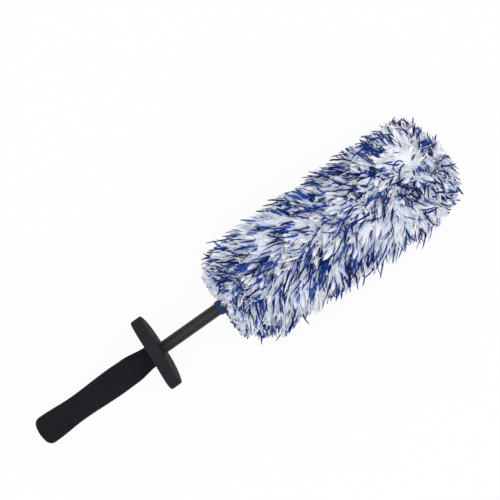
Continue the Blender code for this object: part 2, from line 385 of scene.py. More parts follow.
@dataclass(frozen=True)
class PlasticFinish(Finish):
    """Moulded plastic with a fine spark grain and faint draw lines along the brush.

    Attributes:
        dark: Darker colour of the blend.
        light: Lighter colour of the blend.
        dull: Lowest and highest roughness.
        gloss: Specular level.
        span: Shades of the lines between which the colour changes.
        lines: Draw lines a metre along the brush and on the two axes across it.
        grain: Sparks a metre.
        relief: Depth of lines and grain.
    """

    dark: Colour
    light: Colour
    dull: Point = (0.36, 0.52)
    gloss: float = 0.30
    span: Point = (0.3, 0.72)
    lines: Spot = (18.0, 900.0, 900.0)
    grain: float = 2600.0
    relief: float = 0.00003

    def wire(self, board: NodeBoard) -> None:
        """Wires draw lines along the axis and a grain.

        Args:
            board: The material's node tree.
        """
        where = board.place()
        lines = board.noise(board.stretch(where, self.lines), 1.0)
        grain = board.noise(where, self.grain, SMOOTH_DETAIL)
        colour = board.two_tone(lines, self.span, self.dark, self.light)
        normal = board.relief(board.math("MULTIPLY_ADD", lines, 0.5, grain), self.relief)
        board.set(Base_Color=colour, Roughness=board.spread(lines, self.dull), Normal=normal)
        board.set(Specular_IOR_Level=self.gloss)


@dataclass(frozen=True)
class SpongeFinish(Finish):
    """Open-cell sponge with pores of two sizes.

    Attributes:
        pore_shade: Colour inside the pores, painted shade.
        wall: Colour of the cell walls.
        pores: Large pores a metre.
        finer: How many times finer the small pores are.
        span: Depths between which the colour changes.
        dull: Roughness in a pore and on the walls.
        relief: Depth of the pores.
    """

    pore_shade: Colour
    wall: Colour
    pores: float = 700.0
    finer: float = 2.7
    span: Point = (0.15, 0.7)
    dull: Point = (0.85, 1.0)
    relief: float = 0.0006

    def wire(self, board: NodeBoard) -> None:
        """Wires pores into the colour and the relief.

        Args:
            board: The material's node tree.
        """
        where = board.place()
        large = board.cells(where, self.pores)
        small = board.cells(where, self.pores * self.finer)
        depth = board.math("MULTIPLY_ADD", small, 0.5, large)
        # The pores take the darker colour: painted shade.
        colour = board.two_tone(depth, self.span, self.pore_shade, self.wall)
        board.set(Base_Color=colour, Roughness=board.spread(large, self.dull))
        board.set(Normal=board.relief(depth, self.relief))


@dataclass(frozen=True)
class KnitFinish(Finish):
    """Knitted cloth: loops where yarns that lean both ways round the brush cross.

    Attributes:
        valley_shade: Colour between the loops, painted shade.
        yarn: Colour on top of the loops.
        ribs: Ribs once round.
        course: Courses a metre.
        leans: How steeply the yarns lean on and back, in turns of phase over a course.
        fuzz: Loose fibres a metre.
        relief: Depth of the loops.
        span: Heights between which the colour changes.
        dull: Lowest and highest roughness.
        gloss: Specular level.
        sheen: Weight and roughness of the soft sheen.
    """

    valley_shade: Colour
    yarn: Colour
    ribs: float = 44.0
    course: float = 1100.0
    leans: Point = (1.6, 3.0)
    fuzz: float = 1800.0
    relief: float = 0.0002
    span: Point = (0.15, 0.85)
    dull: Point = (0.8, 1.0)
    gloss: float = 0.15
    sheen: Point = (0.08, 0.5)

    def wire(self, board: NodeBoard) -> None:
        """Wires the loops from the station and the angle round the axis.

        Args:
            board: The material's node tree.
        """
        where = board.place()
        along, angle = board.unroll(where)
        lean_on, lean_back = self.leans
        rib = board.wave(board.sum(along, self.course * lean_on, angle, self.ribs))
        loop = board.wave(board.sum(along, self.course * lean_back, angle, -self.ribs))
        fuzz = board.noise(where, self.fuzz, RICH_DETAIL)
        height = board.math("MULTIPLY_ADD", fuzz, 0.5, board.math("MULTIPLY", rib, loop))
        # The colour darkens from the loop tops down between the loops: painted shade, over random fuzz.
        colour = board.two_tone(height, self.span, self.valley_shade, self.yarn)
        normal = board.relief(height, self.relief)
        board.set(Base_Color=colour, Roughness=board.spread(fuzz, self.dull), Normal=normal)
        weight, spread = self.sheen
        board.set(Specular_IOR_Level=self.gloss, Sheen_Weight=weight, Sheen_Roughness=spread)


@dataclass(frozen=True)
class FluffFinish(Finish):
    """Dense pale fibres seen between the locks.

    Attributes:
        shade: Colour deep between the fibres.
        light: Colour on top of them.
        clumps: Clumps a metre.
        hairs: Fibres a metre.
        shares: How much the fibres and the clumps count in the height.
        relief: Depth of the clumps.
        span: Heights between which the colour changes.
        dull: Lowest and highest roughness.
        gloss: Specular level.
        sheen: Weight and roughness of the soft sheen.
    """

    shade: Colour
    light: Colour
    clumps: float = 240.0
    hairs: float = 1500.0
    shares: Point = (0.4, 0.6)
    relief: float = 0.0008
    span: Point = (0.3, 0.62)
    dull: Point = (0.85, 1.0)
    gloss: float = 0.15
    sheen: Point = (0.3, 0.5)

    def wire(self, board: NodeBoard) -> None:
        """Wires soft clumps with finer fibres in them.

        Args:
            board: The material's node tree.
        """
        where = board.place()
        clump = board.noise(where, self.clumps)
        hair = board.noise(where, self.hairs, RICH_DETAIL)
        height = board.sum(hair, self.shares[0], clump, self.shares[1])
        colour = board.two_tone(height, self.span, self.shade, self.light)
        normal = board.relief(height, self.relief)
        board.set(Base_Color=colour, Roughness=board.spread(hair, self.dull), Normal=normal)
        weight, spread = self.sheen
        board.set(Specular_IOR_Level=self.gloss, Sheen_Weight=weight, Sheen_Roughness=spread)


@dataclass(frozen=True)
class ThreadFinish(Finish):
    """Sewing thread with a two-ply twist.

    Attributes:
        shade: Colour between the plies.
        light: Colour of the plies.
        twist: Phase of the twist along the brush, in radians a metre.
        turns: Phase of the twist round the brush, in radians a radian.
        relief: Depth between the plies.
        span: Heights between which the colour changes.
        dull: Roughness between the plies and on them.
    """

    shade: Colour
    light: Colour
    twist: float = 9000.0
    turns: float = 420.0
    relief: float = 0.0001
    span: Point = (0.1, 0.7)
    dull: Point = (0.9, 0.65)

    def wire(self, board: NodeBoard) -> None:
        """Wires a twist across the thread.

        Args:
            board: The material's node tree.
        """
        along, angle = board.unroll(board.place())
        height = board.wave(board.sum(along, self.twist, angle, self.turns))
        colour = board.two_tone(height, self.span, self.shade, self.light)
        normal = board.relief(height, self.relief)
        board.set(Base_Color=colour, Roughness=board.spread(height, self.dull), Normal=normal)


@dataclass(frozen=True)
class StrandFinish(Finish):
    """Pile strands, coloured along their length and by their own tone through the map that they share.

    Attributes:
        along: Stops from the root to the tip; the white strands' bluer lower lengths are painted bluish shade
            over their own faint tint.
        tones: Stops over the tones of single strands, multiplied in.
        smooth: Roughness at the tip.
        sheen: Weight of the soft sheen.
        rough: Roughness at the root.
        gloss: Specular level.
        sheen_rough: Roughness of the soft sheen.
        fibres: Flecks over the map's width, its length and its unused axis.
        flecks: Stops over the flecks, multiplied in.
    """

    along: Stops
    tones: Stops
    smooth: float = 0.6
    sheen: float = 0.8
    rough: float = 0.95
    gloss: float = 0.12
    sheen_rough: float = 0.4
    fibres: Spot = (260.0, 9.0, 1.0)
    flecks: Stops = ((0.25, (0.93, 0.935, 0.96)), (0.7, (1.0, 1.0, 1.0)))

    def wire(self, board: NodeBoard) -> None:
        """Wires root-to-tip colour, single tones and fine fibres.

        Args:
            board: The material's node tree.
        """
        strip = board.add("ShaderNodeUVMap", uv_map=BAKE_MAP).outputs["UV"]
        tone, along, _ = board.split(strip)
        flecks = board.ramp(board.noise(board.stretch(strip, self.fibres), 1.0), self.flecks)
        colour = board.blend("MULTIPLY", 1.0, board.ramp(along, self.along), board.ramp(tone, self.tones))
        colour = board.blend("MULTIPLY", 1.0, colour, flecks)
        board.set(Base_Color=colour, Roughness=board.spread(along, (self.rough, self.smooth)))
        board.set(Specular_IOR_Level=self.gloss)
        board.set(Sheen_Weight=self.sheen, Sheen_Roughness=self.sheen_rough)


class Bench:
    """Modelling with operators, one open piece at a time."""

    @staticmethod
    def put_down() -> None:
        """Closes the open piece and deselects everything."""
        if bpy.context.object is not None and bpy.context.object.mode != "OBJECT":
            bpy.ops.object.mode_set(mode="OBJECT")
        bpy.ops.object.select_all(action="DESELECT")

    @staticmethod
    def open(piece: Piece) -> None:
        """Selects one piece and opens it in edit mode with everything picked.

        Args:
            piece: The piece.
        """
        Bench.put_down()
        piece.select_set(True)
        bpy.context.view_layer.objects.active = piece
        bpy.ops.object.mode_set(mode="EDIT")
        bpy.ops.mesh.select_mode(type="VERT")
        bpy.ops.mesh.select_all(action="SELECT")

    @staticmethod
    def close(piece: Piece, crease: float = 40.0) -> Piece:
        """Merges doubles, turns faces outwards, and shades the piece smooth up to a crease angle.

        Args:
            piece: The piece that is open.
            crease: Angle in degrees above which an edge stays sharp.

        Returns:
            The piece.
        """
        bpy.ops.mesh.select_all(action="SELECT")
        bpy.ops.mesh.remove_doubles(threshold=MERGE_DISTANCE)
        bpy.ops.mesh.dissolve_degenerate(threshold=MERGE_DISTANCE)
        bpy.ops.mesh.normals_make_consistent(inside=False)
        bpy.ops.object.mode_set(mode="OBJECT")
        bpy.ops.object.shade_smooth_by_angle(angle=math.radians(crease))
        piece.select_set(False)
        return piece

    @staticmethod
    def spin(name: str, profile: Sequence[Point], steps: int, closed: bool) -> Piece:
        """Draws a profile point by point and spins it round the brush axis.

        Args:
            name: The piece's name.
            profile: Points of (radius, station).
            steps: Steps once round.
            closed: True where the profile comes back to its first point.

        Returns:
            The piece, at the origin, with its place in its mesh.
        """
        Bench.put_down()
        bpy.ops.mesh.primitive_plane_add(size=STARTER_SIZE, location=(0.0, 0.0, 0.0))
        piece = bpy.context.active_object
        piece.name = name
        piece.data.name = name
        Bench.open(piece)
        bpy.ops.mesh.merge(type="CENTER")
        points = [(BUTT_X + station, 0.0, AXIS_HEIGHT - radius) for radius, station in profile]
        bpy.ops.transform.translate(value=points[0])
        route = points[1:] + points[:1] if closed else points[1:]
        last = points[0]
        for point in route:
            step = tuple(new - old for new, old in zip(point, last))
            bpy.ops.mesh.extrude_vertices_move(TRANSFORM_OT_translate={"value": step})
            last = point
        bpy.ops.mesh.select_all(action="SELECT")
        bpy.ops.mesh.remove_doubles(threshold=MERGE_DISTANCE)
        bpy.ops.mesh.select_all(action="SELECT")
        bpy.ops.mesh.spin(steps=steps, angle=math.tau, center=(0.0, 0.0, AXIS_HEIGHT), axis=(1.0, 0.0, 0.0))
        return Bench.close(piece)

    @staticmethod
    def reshape(piece: Piece, move: Callable[[Array], Array]) -> None:
        """Moves a piece's points by a rule.

        Args:
            piece: The piece.
            move: Takes all the points as rows and returns their new places.
        """
        points = np.empty(len(piece.data.vertices) * 3)
        piece.data.vertices.foreach_get("co", points)
        piece.data.vertices.foreach_set("co", move(points.reshape(-1, 3)).ravel())
        piece.data.update()


def arc(centre: Point, radius: float, start: float, end: float, steps: int) -> list[Point]:
    """Returns points of a circular arc in the profile plane, from one angle to another in degrees."""
    angles = np.radians(np.linspace(start, end, steps + 1))
    return [(centre[0] + radius * math.cos(a), centre[1] + radius * math.sin(a)) for a in angles]


def even(first: Point, last: Point, steps: int) -> list[Point]:
    """Returns points evenly between two, without the first."""
    shares = np.linspace(0.0, 1.0, steps + 1)[1:]
    return [(first[0] + (last[0] - first[0]) * t, first[1] + (last[1] - first[1]) * t) for t in shares]


def polar(points: Array) -> tuple[Array, Array]:
    """Finds where points are round the brush axis.

    Args:
        points: The piece's points, one a row.

    Returns:
        Their radii and angles.
    """
    across = points[:, 1]
    up = points[:, 2] - AXIS_HEIGHT
    return np.hypot(across, up), np.arctan2(across, up)


def swelled(points: Array, push: Array) -> Array:
    """Pushes points away from the brush axis.

    Args:
        points: The piece's points, one a row.
        push: Each point's factor.

    Returns:
        The moved points.
    """
    moved = points.copy()
    moved[:, 1] *= push
    moved[:, 2] = AXIS_HEIGHT + (points[:, 2] - AXIS_HEIGHT) * push
    return moved


def hand_in(piece: Piece, finish: Finish, slot: Slot, body: Body, *nodes: str) -> Piece:
    """Dresses a finished piece, sets it on its body and hides the solids that it replaces.

    Args:
        piece: The piece.
        finish: Its finish.
        slot: The record's slot; not used.
        body: The body that it rides on.
        nodes: The solids that it replaces.

    Returns:
        The piece.
    """
    piece.data.materials.clear()
    piece.data.materials.append(finish.material())
    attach(piece, body.value)
    if nodes:
        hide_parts(*nodes)
    LOG.info("%s: %d faces on %s", piece.name, len(piece.data.polygons), body.value)
    return piece


def dress_node(name: str, finish: Finish) -> None:
    """Gives a solid that stays its finish.

    Args:
        name: The solid's node.
        finish: The finish.
    """
    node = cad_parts[name]
    node.data.materials.clear()
    node.data.materials.append(finish.material())
    LOG.info("%s: kept solid in %s", name, finish.name)


@dataclass(frozen=True)
class Cut:
    """The flat cut of a cloth piece.

    Attributes:
        width: Width of the flat cloth.
        length: Its length.
        held: How it is held.
        area: Its area where it isn't a rectangle.
    """

    width: float
    length: float
    held: Held
    area: float | None = None

    def declare(self, piece: Piece, rests_on: str, pieces: Sequence[Piece] = ()) -> None:
        """Takes a cloth piece, what it rests on and what lies on it, and does nothing with them.

        Args:
            piece: The piece; not used.
            rests_on: The piece or solid under it; not used.
            pieces: The pieces that are on it; not used.
        """


@dataclass
class Grip:
    """Foam sleeve over the rod, with a palm swell, a waist and a taper to the guard."""

    length: float = 0.1237
    shape: tuple[Point, ...] = ((0.009, 0.0136), (0.042, 0.0120), (0.084, 0.0133), (0.100, 0.0130))
    neck_radius: float = 0.0103
    neck_edge: float = 0.0008
    corner: float = 0.0058
    dome: float = 0.0012
    flat_radius: float = 0.004
    bore_floor: float = 0.0134
    span_steps: int = 12
    neck_steps: int = 5
    corner_steps: int = 10
    dome_steps: int = 4
    flat_steps: int = 3
    sides: int = 96
    # Grip foam: the darker colour is painted shade down in the cells.
    finish: Finish = FoamFinish("grip_foam", (0.0091, 0.0086, 0.0110), (0.0141, 0.0134, 0.0168))

    def outline(self) -> list[Point]:
        """Draws the outer side from the neck to the middle of the butt.

        Returns:
            Points of (radius, station).
        """
        spans = list(self.shape) + [(self.length, self.neck_radius)]
        points = []
        for (low, low_radius), (high, high_radius) in zip(spans, spans[1:]):
            for step in range(self.span_steps):
                share = step / self.span_steps
                ease = (1.0 - math.cos(math.pi * share)) / 2.0
                points.append((low_radius + (high_radius - low_radius) * ease, low + (high - low) * share))
        points.reverse()
        lip = (self.neck_radius - self.neck_edge, self.length - self.neck_edge)
        neck = arc(lip, self.neck_edge, 90.0, 0.0, self.neck_steps)
        centre = (self.shape[0][1] - self.corner, self.dome + self.corner)
        corner = arc(centre, self.corner, 0.0, -90.0, self.corner_steps)
        flat = (self.flat_radius, 0.0)
        butt = even(corner[-1], flat, self.dome_steps) + even(flat, (0.0, 0.0), self.flat_steps)
        return neck + points + corner[1:] + butt

    def build(self) -> None:
        """Spins the sleeve with its blind bore and dresses it."""
        inside = [(0.0, self.bore_floor), (BORE_RADIUS, self.bore_floor), (BORE_RADIUS, self.length)]
        piece = Bench.spin("grip_sleeve", inside + self.outline(), self.sides, False)
        hand_in(piece, self.finish, Slot.GRIP, Body.HANDLE, "grip")


@dataclass
class Guard:
    """Thick foam disc that slides on the rod, cut a little uneven and leaning as soft foam does.

    Each of its wavers is a height, a number of waves once round and a phase.
    """

    radius: float = 0.036
    thickness: float = 0.011
    edge: float = 0.0013
    back: float = 0.124
    mouth: float = 0.0006
    lean: float = 0.055
    bend: float = 0.0029
    lean_start: float = 0.0115
    lean_full: float = 0.017
    wavers: tuple[Spot, ...] = ((0.00022, 2.0, 0.7), (0.00014, 5.0, 2.1))
    face_steps: int = 12
    edge_steps: int = 6
    rim_steps: int = 5
    sides: int = 128
    finish: Finish = FoamFinish(
        "guard_foam",
        # The darker colour is painted shade down in the cells.
        (0.0158, 0.0155, 0.0176),
        (0.0238, 0.0233, 0.0264),
        # The lighter face colour is moulded skin with a painted sheen.
        skin_and_sheen=(0.040, 0.0394, 0.0418),
        skin_radius=0.0349,
        cell=2600.0,
        relief=0.00007,
    )

    def section(self) -> list[Point]:
        """Draws the section, from the front face round the rim and back through the bore.

        Returns:
            Points of (radius, station).
        """
        low = self.back
        high = self.back + self.thickness
        middle = self.radius - self.edge
        front = arc((middle, high - self.edge), self.edge, 90.0, 0.0, self.edge_steps)
        back = arc((middle, low + self.edge), self.edge, 0.0, -90.0, self.edge_steps)
        rim = even(front[-1], back[0], self.rim_steps)
        lip = BORE_RADIUS + self.mouth
        mouth = [(BORE_RADIUS, low + self.mouth), (BORE_RADIUS, high - self.mouth), (lip, high)]
        back_face = even(back[-1], (lip, low), self.face_steps)
        front_face = even((lip, high), front[0], self.face_steps)
        return front + rim + back[1:] + back_face + mouth + front_face[:-1]

    def lie(self, points: Array) -> Array:
        """Lets the outer part of the disc lean, with a faint waver round the rim.

        Args:
            points: The piece's points, one a row.

        Returns:
            The moved points.
        """
        moved = points.copy()
        radius, angle = polar(points)
        share = np.clip((radius - self.lean_start) / (self.lean_full - self.lean_start), 0.0, 1.0)
        share = share * share * (3.0 - 2.0 * share)
        waver = sum(height * np.sin(waves * angle + phase) for height, waves, phase in self.wavers)
        up = np.clip((points[:, 2] - AXIS_HEIGHT) / self.radius, 0.0, 1.0)
        moved[:, 0] += share * (self.lean * points[:, 1] + self.bend * up**2 + waver * radius / self.radius)
        return moved

    def build(self) -> None:
        """Spins the disc, lets it lean and dresses it."""
        piece = Bench.spin("guard_foam_disc", self.section(), self.sides, True)
        Bench.reshape(piece, self.lie)
        hand_in(piece, self.finish, Slot.GUARD, Body.GUARD, "guard_disc")


@dataclass
class Shaft:
    """Rod, butt plug and tip cap: rigid solids that stay as they are and get their finishes."""

    rod: Finish = PlasticFinish("rod_plastic", (0.0104, 0.0101, 0.0127), (0.0160, 0.0156, 0.0192))
    plug: Finish = PlasticFinish("plug_plastic", (0.016, 0.016, 0.017), (0.026, 0.026, 0.028), (0.45, 0.6))
    # Cap rubber: the darker colour is painted shade down in the cells.
    cap: Finish = FoamFinish(
        "cap_rubber", (0.016, 0.016, 0.016), (0.030, 0.030, 0.030), cell=3200.0, relief=0.00005
    )

    def build(self) -> None:
        """Dresses the three solids."""
        dress_node("rod", self.rod)
        dress_node("butt_plug", self.plug)
        dress_node("tip_cap", self.cap)


@dataclass
class Core:
    """Sponge cylinder inside the head, hollow where the rod and its cap sit."""

    radius: float = 0.0243
    base: float = 0.216
    end: float = 0.424
    corner: float = 0.004
    crown: float = 0.4293
    cap_radius: float = 0.009
    pocket_start: float = 0.3997
    pocket_end: float = 0.4186
    corner_steps: int = 8
    crown_steps: int = 3
    side_steps: int = 24
    sides: int = 72
    # The darker sponge colour is painted shade inside the pores.
    finish: Finish = SpongeFinish("core_sponge", (0.14, 0.145, 0.155), (0.36, 0.37, 0.39))

    def build(self) -> None:
        """Spins the sponge and dresses it."""
        pocket = self.cap_radius + FIT_GAP
        shoulder = (self.radius - self.corner, self.end - self.corner)
        corner = arc(shoulder, self.corner, 90.0, 0.0, self.corner_steps)
        top = (0.0, self.crown)
        dome = even(top, (self.radius / 2.0, (self.end + self.crown) / 2.0), self.crown_steps)
        side = even(corner[-1], (self.radius, self.base), self.side_steps)
        hollow = [(BORE_RADIUS, self.base), (BORE_RADIUS, self.pocket_start), (pocket, self.pocket_start)]
        hollow += [(pocket, self.pocket_end), (0.0, self.pocket_end)]
        profile = [top] + dome + corner + side + hollow
        piece = Bench.spin("sponge_core", profile, self.sides, False)
        hand_in(piece, self.finish, Slot.CORE, Body.HANDLE, "head_core")


@dataclass
class Cuff:
    """Short knitted cuff that grips the rod, with a rolled hem and soft gathers, and its nylon tie."""

    start: float = 0.1985
    end: float = 0.2089
    thickness: float = 0.0005
    hem_roll: float = 0.00042
    gathers: int = 11
    gather_depth: float = 0.00042
    gather_start: float = 0.1993
    gather_end: float = 0.2028
    gather_least: float = 0.35
    gather_shift: float = 1.2
    gather_shifts: float = 3.0
    steps: int = 22
    hem_steps: int = 8
    sides: int = 120
    # The darker cuff colour is painted shade between the loops.
    cloth: Finish = KnitFinish("cuff_cloth", (0.0098, 0.0285, 0.105), (0.033, 0.0865, 0.253))
    cut: Cut = Cut(0.042, 0.0104, Held.GATHERED)
    nylon: Finish = PlasticFinish("tie_nylon", (0.008, 0.015, 0.050), (0.014, 0.025, 0.080), (0.4, 0.55))

    def gather(self, points: Array) -> Array:
        """Pushes the cloth out into gathers between the hem and the tie.

        Args:
            points: The piece's points, one a row.

        Returns:
            The moved points.
        """
        radius, angle = polar(points)
        station = points[:, 0] - BUTT_X
        share = np.clip((station - self.gather_start) / (self.gather_end - self.gather_start), 0.0, 1.0)
        swell = np.sin(math.pi * share)
        uneven = self.gather_shift * np.sin(self.gather_shifts * angle)
        fold = 0.5 + 0.5 * np.sin(self.gathers * angle + uneven)
        return swelled(points, 1.0 + self.gather_depth * swell * (self.gather_least + fold) / radius)

    def build(self) -> None:
        """Spins the cuff, gathers it and dresses it and its tie."""
        inner = BORE_RADIUS
        outer = inner + self.thickness
        hem = arc((outer, self.start + self.hem_roll), self.hem_roll, 90.0, -90.0, self.hem_steps)
        outside = even((outer, self.end), hem[0], self.steps)
        inside = even((inner, self.start), (inner, self.end), self.steps)
        profile = [(outer, self.end)] + outside + hem[1:] + [(inner, self.start)] + inside
        piece = Bench.spin("cuff_knit", profile, self.sides, True)
        Bench.reshape(piece, self.gather)
        hand_in(piece, self.cloth, Slot.CUFF, Body.HANDLE, "cover_cuff")
        self.cut.declare(piece, "rod")
        dress_node("cuff_tie", self.nylon)


@dataclass
class Seam:
    """Overcast stitches that join two panels of the head, copied from one stitch."""

    name: str
    node: str
    station: float
    radius: float = 0.0253
    stitches: int = 46
    thread: float = 0.00034
    length: float = 0.0034
    slant: float = 0.5
    sides: int = 6
    end_inset: float = 0.45
    end_bulge: float = 0.6
    crease: float = 60.0
    finish: Finish = ThreadFinish("seam_thread", (0.30, 0.31, 0.37), (0.66, 0.68, 0.75))

    def stitch(self) -> Piece:
        """Models one stitch on top of the seam, thick in the middle and drawn in at its ends.

        Returns:
            The stitch.
        """
        Bench.put_down()
        place = (BUTT_X + self.station, 0.0, AXIS_HEIGHT + self.radius)
        bpy.ops.mesh.primitive_cylinder_add(
            vertices=self.sides,
            radius=self.thread,
            depth=self.length,
            location=place,
            rotation=(0.0, math.pi / 2.0, self.slant),
        )
        piece = bpy.context.active_object
        bpy.ops.object.transform_apply(location=True, rotation=True, scale=True)
        Bench.open(piece)
        bpy.ops.mesh.select_mode(type="FACE")
        bpy.ops.mesh.select_all(action="DESELECT")
        bpy.ops.object.mode_set(mode="OBJECT")
        for face in piece.data.polygons:
            face.select = len(face.vertices) == self.sides
        bpy.ops.object.mode_set(mode="EDIT")
        bpy.ops.mesh.inset(thickness=self.thread * self.end_inset)
        bpy.ops.mesh.extrude_faces_move(TRANSFORM_OT_shrink_fatten={"value": self.thread * self.end_bulge})
        return Bench.close(piece, self.crease)

    def build(self) -> None:
        """Copies the stitch round the seam and dresses the ring of stitches."""
        first = self.stitch()
        ring = [first]
        points = np.empty(len(first.data.vertices) * 3)
        first.data.vertices.foreach_get("co", points)
        points = points.reshape(-1, 3)
        across = points[:, 1]
        up = points[:, 2] - AXIS_HEIGHT
        for number in range(1, self.stitches):
            turn = math.tau * number / self.stitches
            copy = first.copy()
            copy.data = first.data.copy()
            bpy.context.collection.objects.link(copy)
            turned = points.copy()
            turned[:, 1] = across * math.cos(turn) + up * math.sin(turn)
            turned[:, 2] = AXIS_HEIGHT + up * math.cos(turn) - across * math.sin(turn)
            copy.data.vertices.foreach_set("co", turned.ravel())
            ring.append(copy)
        Bench.put_down()
        for stitch in ring:
            stitch.select_set(True)
        bpy.context.view_layer.objects.active = first
        bpy.ops.object.join()
        first.name = self.name
        first.data.name = self.name
        first.select_set(False)
        hand_in(first, self.finish, Slot.THREAD, Body.HANDLE, self.node)


@dataclass(frozen=True)
class Strand:
    """How one kind of strand is spun.

    Attributes:
        places: Places of its rings along the strand, from root to tip.
        halves: Half widths at those places; the tip comes to a point.
        flat: Thickness over width.
        sides: Sides of its section.
        vary: How much the widths of single strands vary.
        ends: Shortest and longest strand over its tuft's length.
        reach: Nearest and farthest place in its tuft, over the tuft's own width.
        over: How far a strand keeps to the outer side of its tuft, from 0 to 1.
        stray: How far its tip strays.
        spare: How far it may stand out of the head's outline, least and most.
        bow: How far it bows sideways, over the curl of its tuft.
        lie: How far it is combed over, over its tuft.
    """

    places: Row
    halves: Row
    flat: float
    sides: int
    vary: float
    ends: Point
    reach: Point
    over: float = 0.0
    stray: float = 0.0007
    spare: Point = (-0.0022, 0.0024)
    bow: float = 0.4
    lie: float = 1.0


@dataclass(frozen=True)
class Combing:
    """How the tufts of the head lie.

    Attributes:
        flow_share: Shares of the sleeve's length at which the next two are given.
        flow_back: How far tips are combed back towards the grip.
        flow_reach: How much of its full rise a tuft has.
        wild: Share of the sleeve's length past which tufts lie wildly, and the share until they do fully.
        shorter: Mean, drift and scatter of the share by which tufts are short of full.
        shorter_ends: Least and most of that share.
        swing: Drift of the sideways lean, and what is added to it where tufts lie wildly.
        stray: The same for the lean along the brush.
        scatter: Scatter of both.
        scatter_wild: How many times more they scatter where tufts lie wildly.
        most_stray: The most that a sleeve's tuft strays forwards.
        ridge: Angle of the ridge on top, from which tufts fall to both sides.
        ridge_mix: Scatter of the side that tufts near the ridge fall to.
        ridge_width: Angle within which they come to fall fully.
        fall: How far tips fall on the +Y side and on the other side.
        fall_calm: How much less they fall where tufts lie wildly.
        fall_ends: Angle from the ridge where tips no longer fall, and the angle over which that fades.
        sway: How much farther back tips lie on the +Y side.
        fan: How far wild tufts turn away from the ridge.
        fan_width: Angle within which they come to turn fully.
        swirl: How far wild tufts turn together.
        crowd: How much closer tufts stand at the ridge.
        crowd_width: Angle over which they do.
        end_flare: How far tufts of the end panel lean out at its rim.
        end_rise: Rise in the middle of the end panel, and what it loses at the rim.
        end_lean: How far tips of the end panel are combed outwards.
        end_scatter: Scatter of their sideways lean.
        base_tilt: How far tufts of the base lean back.
        base_rise: Rise at the axis, and what it gains over the radius.
        base_lean: How far tips of the base are combed forwards.
        base_stray: How much of the stray and of the swing the base's tufts have.
        size: Mean and scatter of how full tufts are.
        size_ends: Least and most of it.
        curl: Mean and scatter of how far tufts curl.
        curl_wild: How many times more they curl where they lie wildly.
    """

    flow_share: Row = (0.0, 0.18, 0.6, 0.88, 1.0)
    flow_back: Row = (0.007, 0.017, 0.016, 0.016, 0.018)
    flow_reach: Row = (0.50, 1.0, 1.0, 0.98, 0.88)
    wild: Point = (0.74, 0.22)
    shorter: Spot = (0.04, 0.10, 0.06)
    shorter_ends: Point = (-0.10, 0.3)
    swing: Point = (0.0035, 0.006)
    stray: Point = (0.003, 0.005)
    scatter: float = 0.0026
    scatter_wild: float = 1.8
    most_stray: float = 0.008
    ridge: float = 0.14
    ridge_mix: float = 0.45
    ridge_width: float = 0.3
    fall: Point = (0.009, 0.015)
    fall_calm: float = 0.6
    fall_ends: Point = (2.6, 0.8)
    sway: float = 0.12
    fan: float = 2.1
    fan_width: float = 0.4
    swirl: float = 0.8
    crowd: float = 0.38
    crowd_width: float = 0.7
    end_flare: float = 0.75
    end_rise: Point = (0.0205, 0.006)
    end_lean: float = 0.010
    end_scatter: float = 0.009
    base_tilt: float = 0.7
    base_rise: Point = (0.004, 0.42)
    base_lean: float = -0.003
    base_stray: Point = (0.4, 0.6)
    size: Point = (1.0, 0.2)
    size_ends: Point = (0.6, 1.5)
    curl: Point = (0.0012, 0.0007)
    curl_wild: float = 1.3


@dataclass(frozen=True)
class Dyeing:
    """How blue and pale strands are spread over the head.

    Attributes:
        each: Blue strands of a plain tuft.
        crown: Blue strands added where tufts lie wildly, and the angle from the ridge over which they are.
        spot: Blue strands added in a blue spot.
        drift: How much their number drifts.
        end_less: How many fewer a tuft of the end panel has.
        base_less: How many fewer a tuft of the base has.
        turns: Angles from the ridge at which shares are given.
        shares: How many times more blue strands there are at those angles.
        start: Share of the sleeve's length up to which it is less blue, and how many times less at its start.
        gathered: Share of the tufts that give up blue strands to the others, and how many times less and more
            of them the two kinds have.
        limits: Least and most blue strands of a tuft.
        dyed: Share of the tufts that are blue all through, its drift, and what a blue spot adds.
        dyed_most: The most of that share.
        dyed_more: Blue strands added to such a tuft.
        dyed_width: How full such a tuft is over a white one.
        white: Loose white strands of a tuft.
        white_wild: How many times more there are where tufts lie wildly.
        crown_pale: How pale wild tufts and those of the base are.
        seen: Share of the way from root to tip at which a tuft is seen.
        spot_core: How many times a spot's strength is cut off at full.
        pale_spots: Station, angle and size of the pale clumps.
        blue_spots: Station, angle and size of the blue clumps.
    """

    each: float = 1.6
    crown: Point = (0.7, 0.8)
    spot: float = 0.8
    drift: float = 0.8
    end_less: float = 2.0
    base_less: float = 1.3
    turns: Row = (-3.2, -1.3, -0.4, 0.0, 0.25, 0.5, 0.75, 1.0, 3.2)
    shares: Row = (1.0, 1.05, 1.0, 1.35, 1.8, 1.8, 1.2, 0.7, 1.0)
    start: Point = (0.3, 0.55)
    gathered: Spot = (0.5, 0.3, 1.7)
    limits: Point = (0.25, 9.0)
    dyed: Spot = (0.05, 0.07, 0.32)
    dyed_most: float = 0.45
    dyed_more: float = 4.0
    dyed_width: float = 0.5
    white: float = 2.5
    white_wild: float = 0.8
    crown_pale: float = 0.75
    seen: float = 0.6
    spot_core: float = 1.5
    pale_spots: tuple[Spot, ...] = (
        (0.419, 0.60, 0.008),
        (0.274, -0.22, 0.007),
        (0.362, 0.10, 0.006),
        (0.393, -0.56, 0.007),
        (0.410, -1.19, 0.007),
        (0.251, -0.66, 0.005),
        (0.296, 0.82, 0.006),
    )
    blue_spots: tuple[Spot, ...] = (
        (0.407, 1.07, 0.005),
        (0.355, 1.04, 0.005),
        (0.429, 0.10, 0.006),
        (0.400, 0.00, 0.006),
        (0.368, 0.34, 0.005),
        (0.432, -0.40, 0.006),
        (0.306, 0.40, 0.006),
        (0.287, -0.41, 0.006),
        (0.292, -0.66, 0.005),
        (0.316, -1.18, 0.006),
        (0.379, -1.31, 0.006),
        (0.243, -1.01, 0.006),
        (0.257, -0.18, 0.005),
        (0.241, 1.06, 0.004),
        (0.409, -0.75, 0.005),
        (0.372, -0.50, 0.005),
    )


